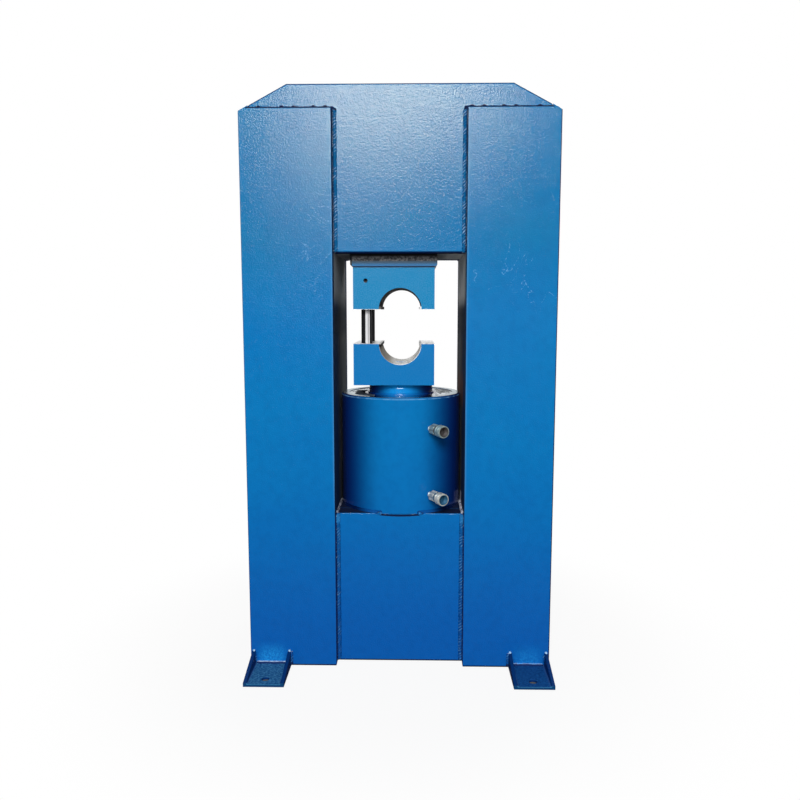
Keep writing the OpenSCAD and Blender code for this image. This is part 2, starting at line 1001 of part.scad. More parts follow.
module coupler_body(z) {
    color(zinc)
        at_coupler(z)
            difference() {
                union() {
                    translate([0, 0, hex_start])
                        cylinder(h = hex_length, d = hex_width / cos(30), $fn = 6);
                    translate([0, 0, hex_start + hex_length / 2])
                        cylinder(h = hex_length / 2 + neck_length, r = neck_radius);
                    translate([0, 0, flange_start])
                        cylinder(h = flange_thickness, r = flange_radius);
                }
                translate([0, 0, hex_start - 1])
                    cylinder(h = nipple_socket + 1 + seating, r = nipple_diameter / 2 + seating);
                translate([0, 0, nipple_end])
                    cylinder(h = chamber_end - nipple_end, r = chamber_radius);
                translate([0, 0, nipple_end])
                    cylinder(h = coupler_face, d = poppet_nose);
            }
}

// Loose collar with an open socket, kept on by the flange of the body
module coupler_sleeve(z) {
    relief = socket_radius + rest_gap;
    shoulder = flange_start - rest_gap;
    outer = sleeve_diameter / 2;
    edge = 1;
    color(zinc)
        at_coupler(z)
            rotate_extrude()
                polygon([
                    [neck_radius + running, sleeve_start],
                    [sleeve_tail / 2, sleeve_start],
                    [outer, sleeve_start + sleeve_taper],
                    [outer, sleeve_end - edge],
                    [outer - edge, sleeve_end],
                    [socket_radius, sleeve_end],
                    [socket_radius, coupler_face],
                    [relief, coupler_face],
                    [relief, shoulder],
                    [neck_radius + running, shoulder]
                ]);
}

module coupler_poppet(z) {
    nose = poppet_nose / 2 - running;
    head = chamber_radius - rest_gap;
    guide = chamber_radius - 2.5 * spring_wire;
    color(steel)
        at_coupler(z)
            rotate_extrude()
                polygon([
                    [0, head_start - poppet_guide],
                    [guide, head_start - poppet_guide],
                    [guide, head_start],
                    [head, head_start],
                    [head, head_end],
                    [nose, head_end],
                    [nose, coupler_face],
                    [0, coupler_face]
                ]);
}

// Coil spring swept as rings of wire_sides points along a helix
module coupler_spring(z) {
    wire_sides = 8;
    rings_per_turn = 16;
    wire_radius = spring_wire / 2;
    coil_radius = chamber_radius - rest_gap - wire_radius;
    start = nipple_end + wire_radius + seating;
    rise = head_start - seating - wire_radius - start;
    ring_count = spring_turns * rings_per_turn;
    points = [
        for (i = [0:ring_count], j = [0:wire_sides - 1])
            let (turn = 360 * i / rings_per_turn, around = 360 * j / wire_sides)
            let (reach = coil_radius + wire_radius * cos(around))
                [reach * cos(turn), reach * sin(turn), start + rise * i / ring_count + wire_radius * sin(around)]
    ];
    sides = [
        for (i = [0:ring_count - 1], j = [0:wire_sides - 1])
            let (a = i * wire_sides + j, b = i * wire_sides + (j + 1) % wire_sides)
                [a, a + wire_sides, b + wire_sides, b]
    ];
    first_end = [for (j = [0:wire_sides - 1]) j];
    last_end = [for (j = [wire_sides - 1:-1:0]) ring_count * wire_sides + j];
    color(steel)
        at_coupler(z)
            polyhedron(points, concat(sides, [first_end, last_end]));
}

module upper_coupler_nipple() { coupler_nipple(upper_port); }
module upper_coupler_body() { coupler_body(upper_port); }
module upper_coupler_sleeve() { coupler_sleeve(upper_port); }
module upper_coupler_poppet() { coupler_poppet(upper_port); }
module upper_coupler_spring() { coupler_spring(upper_port); }
module lower_coupler_nipple() { coupler_nipple(lower_port); }
module lower_coupler_body() { coupler_body(lower_port); }
module lower_coupler_sleeve() { coupler_sleeve(lower_port); }
module lower_coupler_poppet() { coupler_poppet(lower_port); }
module lower_coupler_spring() { coupler_spring(lower_port); }

left_front_column_plate();
right_front_column_plate();
left_rear_column_plate();
right_rear_column_plate();
left_outer_side_plate();
right_outer_side_plate();
left_window_wall();
right_window_wall();
crown_front_plate();
crown_rear_plate();
crown_bearing_plate();
crown_top_cover();
crown_left_rib();
crown_right_rib();
bed_front_plate();
bed_rear_plate();
bed_top_plate();
bed_left_rib();
bed_right_rib();
left_front_foot();
right_front_foot();
left_rear_foot();
right_rear_foot();
front_welds();
rear_welds();
bed_top_welds();
cylinder_barrel();
cylinder_base();
gland();
rod_bush();
rod_seal();
wiper_ring();
gland_o_ring();
ram();
piston();
piston_seal();
piston_wear_rings();
piston_nut();
lower_die();
lower_die_screw();
front_guide_bush();
rear_guide_bush();
die_backing_plate();
upper_die();
upper_die_screw();
front_guide_pin();
rear_guide_pin();
pin_set_screws();
upper_coupler_nipple();
upper_coupler_body();
upper_coupler_sleeve();
upper_coupler_poppet();
upper_coupler_spring();
lower_coupler_nipple();
lower_coupler_body();
lower_coupler_sleeve();
lower_coupler_poppet();
lower_coupler_spring();
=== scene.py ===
import functools
import math

import bpy
from mathutils import Matrix, Quaternion, Vector


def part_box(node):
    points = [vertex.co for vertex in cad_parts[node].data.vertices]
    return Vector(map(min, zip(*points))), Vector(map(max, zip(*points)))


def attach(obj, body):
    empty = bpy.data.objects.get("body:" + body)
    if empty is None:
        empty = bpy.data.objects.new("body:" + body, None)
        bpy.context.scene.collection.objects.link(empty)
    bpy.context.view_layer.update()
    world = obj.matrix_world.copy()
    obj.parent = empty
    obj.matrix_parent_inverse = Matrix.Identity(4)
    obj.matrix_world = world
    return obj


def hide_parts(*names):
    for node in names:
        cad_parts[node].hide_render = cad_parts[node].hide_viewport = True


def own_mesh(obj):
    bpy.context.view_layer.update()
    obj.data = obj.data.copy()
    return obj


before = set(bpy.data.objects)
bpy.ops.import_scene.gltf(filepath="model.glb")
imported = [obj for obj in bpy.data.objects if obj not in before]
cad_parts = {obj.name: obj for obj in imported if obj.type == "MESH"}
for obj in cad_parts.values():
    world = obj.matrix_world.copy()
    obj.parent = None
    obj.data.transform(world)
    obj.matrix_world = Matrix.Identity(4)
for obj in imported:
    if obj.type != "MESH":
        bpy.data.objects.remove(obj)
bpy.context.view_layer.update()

MM = 0.001
UP = Vector((0, 0, 1))

# Places taken from the CAD frame
COLUMN_LOW, COLUMN_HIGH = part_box("right_front_column_plate")
HALF_WINDOW = COLUMN_LOW.x
FRONT_FACE = COLUMN_LOW.y
CORE_FACE = COLUMN_HIGH.y
COLUMN_THICKNESS = CORE_FACE - FRONT_FACE
COLUMN_TOP = COLUMN_HIGH.z
BED_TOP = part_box("bed_top_plate")[1].z
CROWN_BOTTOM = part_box("crown_bearing_plate")[0].z
FOOT_LOW, FOOT_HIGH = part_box("right_front_foot")
FOOT_MIDDLE = (FOOT_LOW.x + FOOT_HIGH.x) / 2
BARREL_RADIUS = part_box("cylinder_barrel")[1].x
BARREL_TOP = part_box("cylinder_barrel")[1].z
LOWER_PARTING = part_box("lower_die")[1].z
UPPER_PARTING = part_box("upper_die")[0].z
UPPER_DIE_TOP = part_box("upper_die")[1].z
DIE_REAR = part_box("lower_die")[1].y
BACKING_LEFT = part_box("die_backing_plate")[0].x
BACKING_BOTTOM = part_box("die_backing_plate")[0].z

# Sizes that no box of the CAD frame gives
SEAT_RADIUS = 50 * MM
FOOT_FLANGE = 8 * MM
FOOT_ROOT = 6 * MM
FOOT_WEB = 6 * MM
COUPLER_TURN = math.radians(29)


def port_height(position):
    """Height of the upper or the lower coupler's axis."""
    low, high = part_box(f"{position}_coupler_sleeve")
    return (low.z + high.z) / 2


# Modelling helpers


def only(piece):
    """Leave object mode with this one piece selected."""
    if bpy.context.mode != "OBJECT":
        bpy.ops.object.mode_set(mode="OBJECT")
    bpy.ops.object.select_all(action="DESELECT")
    piece.select_set(True)
    bpy.context.view_layer.objects.active = piece


def add_modifier(piece, kind, **settings):
    """Add a modifier, set it and apply it at once."""
    only(piece)
    bpy.ops.object.modifier_add(type=kind)
    modifier = piece.modifiers[-1]
    for name, value in settings.items():
        setattr(modifier, name, value)
    bpy.ops.object.modifier_apply(modifier=modifier.name)


def join(pieces, name):
    """Join several pieces into the first one."""
    only(pieces[0])
    for piece in pieces[1:]:
        piece.select_set(True)
    bpy.ops.object.join()
    joined = bpy.context.object
    joined.name = name
    joined.data.name = name
    return joined


def smooth(piece, degrees=35):
    """Smooth shading that keeps the creases and leaves large faces flat."""
    only(piece)
    bpy.ops.object.shade_smooth_by_angle(angle=math.radians(degrees))
    add_modifier(piece, "WEIGHTED_NORMAL", keep_sharp=True)


def close_seams(piece):
    """Merge doubled points and turn all faces outwards."""
    only(piece)
    bpy.ops.object.mode_set(mode="EDIT")
    bpy.ops.mesh.select_all(action="SELECT")
    bpy.ops.mesh.remove_doubles(threshold=0.004 * MM)
    bpy.ops.mesh.normals_make_consistent(inside=False)
    bpy.ops.object.mode_set(mode="OBJECT")


def eased_copy(node, width, chosen=None, steps=3, sharpness=40):
    """Copy of a CAD node with its sharp edges rounded over. chosen picks edges by their middle."""
    piece = bpy.data.objects.new("eased_" + node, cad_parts[node].data.copy())
    bpy.context.collection.objects.link(piece)
    piece.data.materials.clear()
    only(piece)
    bpy.ops.mesh.customdata_custom_splitnormals_clear()
    bpy.ops.object.mode_set(mode="EDIT")
    bpy.ops.mesh.select_all(action="SELECT")
    bpy.ops.mesh.remove_doubles(threshold=0.01 * MM)
    bpy.ops.mesh.dissolve_limited(angle_limit=math.radians(0.5))
    bpy.ops.mesh.select_mode(type="EDGE")
    bpy.ops.mesh.select_all(action="DESELECT")
    bpy.ops.mesh.edges_select_sharp(sharpness=math.radians(sharpness))
    bpy.ops.object.mode_set(mode="OBJECT")
    if chosen:
        points = piece.data.vertices
        for edge in piece.data.edges:
            first, last = edge.vertices
            if edge.select and not chosen((points[first].co + points[last].co) / 2):
                edge.select = False
    bpy.ops.object.mode_set(mode="EDIT")
    bpy.ops.mesh.bevel(offset=width, segments=steps, affect="EDGES", clamp_overlap=True)
    bpy.ops.object.mode_set(mode="OBJECT")
    smooth(piece)
    return piece


def turned(name, profile, sides=48):
    """Piece turned about Z from a closed outline of (radius, height) points in millimetres."""
    bpy.ops.object.select_all(action="DESELECT")
    bpy.ops.mesh.primitive_circle_add(vertices=len(profile), radius=1)
    piece = bpy.context.object
    piece.name = name
    piece.data.name = name
    for point, (radius, height) in zip(piece.data.vertices, profile):
        point.co = (radius * MM, 0, height * MM)
    bpy.ops.object.mode_set(mode="EDIT")
    bpy.ops.mesh.select_all(action="SELECT")
    bpy.ops.mesh.spin(steps=sides, angle=2 * math.pi, center=(0, 0, 0), axis=(0, 0, 1))
    close_seams(piece)
    return piece


def wound(piece, pitch, turns, steps, ends, **settings):
    """Wind an outline about Z as a screw, cap its two ends, of so many points each, and close it."""
    add_modifier(
        piece,
        "SCREW",
        axis="Z",
        angle=2 * math.pi,
        screw_offset=pitch * MM,
        iterations=turns,
        steps=steps,
        render_steps=steps,
        **settings,
    )
    only(piece)
    bpy.ops.object.mode_set(mode="EDIT")
    bpy.ops.mesh.select_all(action="SELECT")
    bpy.ops.mesh.fill_holes(sides=ends)
    close_seams(piece)
    return piece


def thread_coil(name, radius, start, end, pitch, depth, inward=False):
    """Ridge of a screw thread, wound about Z between two heights, in millimetres."""
    bpy.ops.object.select_all(action="DESELECT")
    bpy.ops.mesh.primitive_circle_add(vertices=3, radius=1)
    piece = bpy.context.object
    piece.name = name
    way = -1 if inward else 1
    crest = radius + way * depth
    root = radius - way * 0.15
    half_foot = 0.46 * pitch
    outline = ((crest, start), (root, start + half_foot), (root, start - half_foot))
    for point, (reach, height) in zip(piece.data.vertices, outline):
        point.co = (reach * MM, 0, height * MM)
    return wound(piece, pitch, int((end - start) / pitch), 36, 3, use_smooth_shade=True)


def dress(piece, finish, slot, body, *nodes):
    """Give a finished piece its material and its body, and hide the CAD nodes that it stands for."""
    piece.data.materials.clear()
    piece.data.materials.append(finish)
    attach(piece, body)
    if nodes:
        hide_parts(*nodes)
    return piece


# Finishes


class Nodes:
    """A shader node tree built by short calls. A value is a number, a colour or another node's output."""

    def __init__(self, tree):
        self.tree = tree

    def add(self, kind, inputs=None, **settings):
        node = self.tree.nodes.new("ShaderNode" + kind)
        for name, value in settings.items():
            setattr(node, name, value)
        for name, value in (inputs or {}).items():
            self.feed(node.inputs[name], value)
        return node

    def feed(self, socket, value):
        if isinstance(value, bpy.types.NodeSocket):
            self.tree.links.new(value, socket)
        else:
            socket.default_value = value

    def parts(self, vector):
        """The three components of a vector."""
        return tuple(self.add("SeparateXYZ", {"Vector": vector}).outputs)

    def math(self, operation, a, b=0.0):
        return self.add("Math", {0: a, 1: b}, operation=operation).outputs[0]

    def minus(self, a, b):
        return self.math("SUBTRACT", a, b)

    def product(self, *shares):
        """Several shares multiplied together."""
        return functools.reduce(functools.partial(self.math, "MULTIPLY"), shares)

    def either(self, *shares):
        """The largest of several shares."""
        return functools.reduce(functools.partial(self.math, "MAXIMUM"), shares)

    def gap(self, value, middle=0.0):
        """How far a value lies from a middle, on either side of it."""
        return self.math("ABSOLUTE", self.minus(value, middle))

    def reach(self, a, b):
        """Straight distance covered by two steps at right angles."""
        return self.math("SQRT", self.math("ADD", self.product(a, a), self.product(b, b)))

    def within(self, value, low, high, to_low=0.0, to_high=1.0):
        """Smooth step of value from low to high."""
        inputs = {"Value": value, "From Min": low, "From Max": high, "To Min": to_low, "To Max": to_high}
        return self.add("MapRange", inputs, interpolation_type="SMOOTHSTEP").outputs["Result"]

    def band(self, value, start, full, until, end):
        """Share that rises from start to full and falls away from until to end."""
        return self.product(self.within(value, start, full), self.within(value, end, until))

    def blend(self, share, a, b):
        """Mix of two colours."""
        return self.add("Mix", {0: share, 6: a, 7: b}, data_type="RGBA").outputs[2]

    def mix(self, share, a, b):
        """Mix of two numbers."""
        return self.add("Mix", {0: share, 2: a, 3: b}, data_type="FLOAT").outputs[0]


class Finish(Nodes):
    """A material whose patterns all lie in object coordinates."""

    def __init__(self, name):
        self.material = bpy.data.materials.new(name)
        self.material.use_nodes = True
        super().__init__(self.material.node_tree)
        self.shader = self.tree.nodes["Principled BSDF"]
        self.place = self.add("TexCoord").outputs["Object"]
        self.x, self.y, self.z = self.parts(self.place)

    def set(self, **values):
        """Set inputs of the shader. Gives the material, so that a finish can end with this call."""
        for name, value in values.items():
            self.feed(self.shader.inputs[name.replace("_", " ").title().replace("Ior", "IOR")], value)
        return self.material

    def facing(self):
        """The three components of the direction in which the surface faces."""
        return self.parts(self.add("NewGeometry").outputs["Normal"])

    def behind(self, face):
        """Depth behind a front face, or behind the rear face that mirrors it."""
        return self.minus(abs(face), self.gap(self.y))

    def by_half(self, left=0.0, right=1.0):
        """One value on the left half of the press and another on the right half."""
        return self.within(self.x, -0.1, 0.1, left, right)

    def stretched(self, scale):
        return self.add("Mapping", {"Vector": self.place, "Scale": scale}).outputs["Vector"]

    def noise(self, scale, detail=2.0, roughness=0.5, place=None, distortion=0.0):
        inputs = {
            "Vector": place or self.place,
            "Scale": scale,
            "Detail": detail,
            "Roughness": roughness,
            "Distortion": distortion,
        }
        return self.add("TexNoise", inputs).outputs["Fac"]

    def wave(self, scale, distortion, detail, place=None, **settings):
        inputs = {"Vector": place or self.place, "Scale": scale, "Distortion": distortion, "Detail": detail}
        return self.add("TexWave", inputs, **settings).outputs["Fac"]

    def bump(self, height, strength, distance, under=None):
        inputs = {"Height": height, "Strength": strength, "Distance": distance}
        if under:
            inputs["Normal"] = under
        return self.add("Bump", inputs).outputs["Normal"]


def colour(red, green, blue):
    return (red, green, blue, 1.0)


ENAMEL = colour(0.0026, 0.163, 0.430)
ENAMEL_HIGH = colour(0.0020, 0.156, 0.365)
ENAMEL_DEEP = colour(0.0026, 0.096, 0.388)
ENAMEL_SHADE = colour(0.0012, 0.018, 0.100)
DARK_NAVY = colour(0.0006, 0.008, 0.045)
# Light blue for real scuffs and for painted highlights.
SCUFF_AND_HIGHLIGHT = colour(0.16, 0.40, 0.68)
STEEL = colour(0.62, 0.63, 0.64)
STEEL_DARK = colour(0.40, 0.40, 0.40)
# Near-black that paints shade on the dies' bare steel.
SHADE_BLACK = colour(0.008, 0.008, 0.009)
WARM_GLOSS = colour(1.0, 0.96, 0.70)
PLAIN_GLOSS = colour(1.0, 1.0, 1.0)


def enamel_layers(f, peel=0.9):
    """Sprayed blue enamel with orange peel, darkened towards the floor as painted shade: its colour,
    roughness and normal.
    """
    # Painted shade: the enamel turns a deeper blue towards the floor.
    painted_shade_low_down = f.within(f.z, 0.62, 0.02)
    high_up = f.within(f.z, 0.80, 1.05)
    patches = f.within(f.noise(7.0, 3.0), 0.3, 0.7, 0.0, 0.14)
    mottle = f.within(f.noise(55.0, 3.0, 0.6), 0.35, 0.75, 0.0, 0.10)
    base = f.blend(painted_shade_low_down, ENAMEL, ENAMEL_DEEP)
    base = f.blend(high_up, base, ENAMEL_HIGH)
    base = f.blend(patches, base, ENAMEL_DEEP)
    base = f.blend(mottle, base, ENAMEL_SHADE)
    roughness = f.within(f.noise(24.0, 3.0), 0.3, 0.7, 0.13, 0.16)
    waves = f.bump(f.noise(38.0, 1.0), 0.08, 1.2 * MM)
    grains = f.noise(410.0, 0.0)
    f.set(specular_ior_level=0.25, specular_tint=WARM_GLOSS)
    return base, roughness, f.bump(grains, peel, 0.34 * MM, waves)


def steel_layers(f, dark=STEEL_DARK, light=STEEL):
    """Machined bare steel with fine draw lines along the depth."""
    lines = f.noise(9.0, 4.0, 0.65, f.stretched((60.0, 4.0, 60.0)))
    stains = f.noise(32.0, 4.0, 0.6)
    base = f.blend(f.within(lines, 0.3, 0.7), dark, light)
    base = f.blend(f.within(stains, 0.55, 0.8, 0.0, 0.5), base, dark)
    roughness = f.within(stains, 0.3, 0.7, 0.30, 0.45)
    return base, roughness, f.bump(lines, 0.12, 0.3 * MM)


def floor_edge(f):
    """Lowest edge of a plate that stands on the floor, where shade is painted."""
    return f.within(f.z, 4.6 * MM, 2.8 * MM)


def plain_enamel():
    f = Finish("blue_enamel_paint")
    base, roughness, normal = enamel_layers(f)
    return f.set(base_color=base, roughness=roughness, normal=normal)


def crown_enamel():
    """Enamel of the crown's faces, with painted shade on the rounded rim and just above the underside."""
    f = Finish("crown_blue_enamel_paint")
    base, roughness, normal = enamel_layers(f)
    depth = f.behind(CORE_FACE)
    # Painted shade: dark enamel on the rounded rim and on the crown's lowest few millimetres behind its face.
    beneath = f.within(f.z, CROWN_BOTTOM + 8 * MM, CROWN_BOTTOM + 5 * MM)
    rim = f.either(beneath, f.within(depth, 5.2 * MM, 4.4 * MM))
    rim = f.product(rim, f.within(depth, 0.1 * MM, 0.6 * MM))
    base = f.blend(rim, base, ENAMEL_SHADE)
    return f.set(base_color=base, roughness=f.mix(rim, roughness, 0.95), normal=normal)


def scuffed_enamel():
    """Enamel of the column plates: rub marks, a painted highlight along the inner edges, painted shade on the
    outer edges, inner side faces and floor edge, and painted bounce light between the foot's flanges.
    """
    f = Finish("scuffed_blue_enamel_paint")
    base, roughness, normal = enamel_layers(f)
    side = f.gap(f.x)
    tangle = f.noise(11.0, 2.0, 0.5, None, 1.6)
    strokes = f.within(f.gap(tangle, 0.5), 0.010, 0.002)
    dots = f.within(f.noise(420.0, 1.0), 0.50, 0.60)
    patches = f.within(f.noise(9.0, 2.0), 0.50, 0.62)
    arm_height = f.band(f.z, 0.80, 0.95, 1.10, 1.22)
    marks = f.product(strokes, dots, arm_height, patches)
    base = f.blend(f.product(marks, 0.75), base, SCUFF_AND_HIGHLIGHT)
    roughness = f.mix(marks, roughness, 0.6)

    from_window = f.minus(side, HALF_WINDOW)
    # Painted highlight: a lighter strip along the inner edge, from the bed upwards.
    painted_edge_highlight = f.within(from_window, 5.5 * MM, 1.5 * MM, 0.0, 0.20)
    by_window = f.within(f.z, BED_TOP - 11 * MM, BED_TOP + 89 * MM)
    base = f.blend(f.product(painted_edge_highlight, by_window), base, SCUFF_AND_HIGHLIGHT)

    # Painted bounce light: a lighter speckled patch on the column between the foot's flanges, stronger on the
    # left.
    by_flanges = f.within(f.gap(side, FOOT_MIDDLE), 44 * MM, 14 * MM)
    speckle = f.within(f.noise(230.0, 3.0, 0.6), 0.35, 0.65, 0.30, 0.85)
    dust_and_painted_light = f.product(by_flanges, f.within(f.z, 66 * MM, 20 * MM), f.by_half(1.0, 0.55), speckle)
    base = f.blend(dust_and_painted_light, base, colour(0.014, 0.260, 0.660))

    # Painted shade: dark navy on the outer edges, stronger on the right, and on the floor edge.
    outer_edge = f.within(f.minus(COLUMN_HIGH.x, side), 3.0 * MM, 1.6 * MM)
    near_face = f.within(f.behind(FRONT_FACE), 3.4 * MM, 2.4 * MM)
    thin = f.either(f.product(outer_edge, f.by_half(0.3, 1.0), near_face), floor_edge(f))
    base = f.blend(thin, base, DARK_NAVY)

    # Painted shade: dark navy on the inner side faces that look into the window.
    painted_flank_shade = f.within(from_window, 1.3 * MM, 0.6 * MM)
    above_bed = f.within(f.z, BED_TOP - 10 * MM, BED_TOP + 10 * MM)
    flank_shade_blue = f.blend(above_bed, colour(0.0020, 0.034, 0.180), colour(0.0015, 0.020, 0.075))
    base = f.blend(painted_flank_shade, base, flank_shade_blue)
    return f.set(base_color=base, roughness=f.mix(f.either(thin, painted_flank_shade), roughness, 1.0), normal=normal)


def weld_enamel():
    """Enamel over the weld beads: darker blotches, painted highlights on the slanting ripples, painted shade
    at the toes and round the barrel towards the walls, dark column tops, painted shade and painted highlights
    on the feet, and bright spots by the walls.
    """
    f = Finish("blue_enamel_over_welds")
    base, _, normal = enamel_layers(f, 0.12)
    side = f.gap(f.x)
    forward = f.minus(f.gap(f.y), abs(CORE_FACE))
    # Darker blotches over the beads.
    darkened = f.within(f.noise(120.0, 3.0, 0.6), 0.35, 0.65, 0.12, 0.45)
    base = f.blend(darkened, base, ENAMEL_SHADE)

    # Painted highlights: lighter tops of the slanting ripples, brightest from the crown up.
    ripples = f.wave(84.0, 4.0, 2.0, f.stretched((-1.0, 0.0, 1.0)), bands_direction="DIAGONAL")
    crests = f.product(f.within(ripples, 0.62, 0.95), f.within(f.noise(60.0, 2.0), 0.42, 0.62))
    at_crown = f.within(f.z, CROWN_BOTTOM - 10 * MM, CROWN_BOTTOM + 10 * MM)
    crest = f.blend(at_crown, colour(0.100, 0.310, 0.580), colour(0.360, 0.560, 0.780))
    base = f.blend(f.product(crests, f.mix(at_crown, 0.6, 0.8)), base, crest)

    # Painted shade: dark enamel at the bead edges by the column and the core; the beads on the column tops
    # are dark as well.
    dark_width = f.within(f.z, BED_TOP, CROWN_BOTTOM, 2.8 * MM, 5.2 * MM)
    by_column = f.within(f.gap(side, HALF_WINDOW), dark_width, 0.8 * MM)
    by_core = f.within(forward, 2.4 * MM, 0.9 * MM)
    toes = f.product(f.either(by_column, by_core), f.within(forward, -1.0 * MM, 0.0), 0.85)
    on_top = f.within(f.z, COLUMN_TOP - 1 * MM, COLUMN_TOP + 1 * MM)
    above_bed = f.within(f.z, BED_TOP + 10 * MM, BED_TOP + 30 * MM)
    toe = f.blend(above_bed, colour(0.0012, 0.018, 0.110), DARK_NAVY)
    base = f.blend(f.either(toes, on_top), base, toe)

    # Painted shade: the bead round the barrel goes near-black towards the walls.
    on_bed = f.within(forward, 0.5 * MM, -1.0 * MM)
    to_walls = f.within(side, 62 * MM, 112 * MM)
    bed_bead = f.blend(to_walls, colour(0.003, 0.075, 0.290), colour(0.0006, 0.0065, 0.045))
    base = f.blend(on_bed, base, bed_bead)
    by_bed_edge = f.band(f.z, BED_TOP - 26 * MM, BED_TOP - 18 * MM, BED_TOP - 4 * MM, BED_TOP)
    base = f.blend(f.product(by_bed_edge, 0.5), base, colour(0.030, 0.280, 0.640))

    # Painted shade: a dark strip on the lower part of the web bead. Painted highlights: bright blobs on the
    # flange tops and bright dashes along the web bead.
    on_feet = f.within(forward, COLUMN_THICKNESS - 2 * MM, COLUMN_THICKNESS)
    dull = f.product(on_feet, f.within(f.z, 10.2 * MM, 9.2 * MM))
    base = f.blend(dull, base, ENAMEL_SHADE)
    caps = f.within(f.z, FOOT_HIGH.z - 2 * MM, FOOT_HIGH.z + 1 * MM)
    on_web = f.within(f.gap(side, FOOT_MIDDLE), 36 * MM, 34 * MM)
    broken = f.within(f.noise(85.0, 2.0), 0.44, 0.56, 0.45, 1.0)
    dashes = f.product(f.band(f.z, 9.4 * MM, 10.2 * MM, 13 * MM, 16 * MM), broken, on_web)
    on_feet = f.product(on_feet, f.either(caps, dashes))

    by_wall = f.product(
        f.within(side, HALF_WINDOW - 9 * MM, HALF_WINDOW - 7 * MM),
        f.within(forward, 1 * MM, 0.0),
        f.within(f.noise(150.0, 3.0, 0.7), 0.35, 0.55),
        f.by_half(0.5, 1.0),
    )
    # Bright spots: painted highlights on the feet, and the pale streaks by the walls.
    bare = f.either(by_wall, f.product(on_feet, 0.85))
    shine = f.blend(f.by_half(), colour(0.52, 0.68, 0.86), colour(0.10, 0.40, 0.86))
    shine = f.blend(caps, shine, colour(0.36, 0.62, 0.86))
    return f.set(
        base_color=f.blend(bare, base, f.blend(on_feet, colour(0.68, 0.70, 0.78), shine)),
        roughness=f.mix(f.either(on_top, dull), f.mix(bare, 0.16, 0.45), 0.95),
        normal=normal,
        specular_ior_level=0.4,
        specular_tint=PLAIN_GLOSS,
    )


def foot_enamel():
    """Enamel of the feet, darkened as painted shade on the flanges, with a painted highlight along the root
    fillets, a dusty web that is lighter on the left as painted light, and a painted highlight on the toe's
    edge.
    """
    f = Finish("dusty_blue_enamel_paint")
    base, _, normal = enamel_layers(f, 0.4)
    # Painted shade: the whole foot is darkened, which shows on the flanges.
    base = f.blend(0.85, base, ENAMEL_SHADE)
    aside = f.gap(f.gap(f.x), FOOT_MIDDLE)
    # Painted highlight: a lighter line along the flanges' root fillets.
    roots = f.within(f.gap(aside, 36 * MM), 2.4 * MM, 0.8 * MM)
    low = f.within(f.z, 12 * MM, 9 * MM)
    base = f.blend(f.product(roots, low, 0.5), base, colour(0.07, 0.16, 0.40))

    _, _, up = f.facing()
    on_web = f.product(f.within(up, 0.6, 0.98), f.within(f.z, 9 * MM, 7 * MM))
    grit = f.within(f.noise(190.0, 4.0, 0.7), 0.3, 0.7)
    dust_and_painted_light = f.product(on_web, f.within(grit, 0.0, 1.0, 0.55, 0.95))
    # Dusty web, lighter on the left foot as painted light and darker on the right as painted shade.
    lit_left_dust = f.blend(grit, colour(0.008, 0.105, 0.270), colour(0.062, 0.245, 0.470))
    shaded_right_dust = f.blend(grit, colour(0.002, 0.060, 0.230), colour(0.012, 0.105, 0.330))
    base = f.blend(dust_and_painted_light, base, f.blend(f.by_half(), lit_left_dust, shaded_right_dust))

    to_toe = f.behind(FOOT_LOW.y)
    base = f.blend(f.within(to_toe, 1.2 * MM, 0.6 * MM), base, colour(0.003, 0.045, 0.140))
    # Painted highlight: a lighter top edge on the toe of the web.
    toe_edge = f.product(
        f.within(to_toe, 1.6 * MM, 0.9 * MM),
        f.within(f.z, 5.2 * MM, 5.7 * MM),
        f.within(aside, 40 * MM, 37 * MM, 0.0, 0.5),
    )
    base = f.blend(toe_edge, base, colour(0.060, 0.300, 0.560))
    return f.set(base_color=base, roughness=f.mix(dust_and_painted_light, 0.5, 0.85), normal=normal, specular_ior_level=0.08)


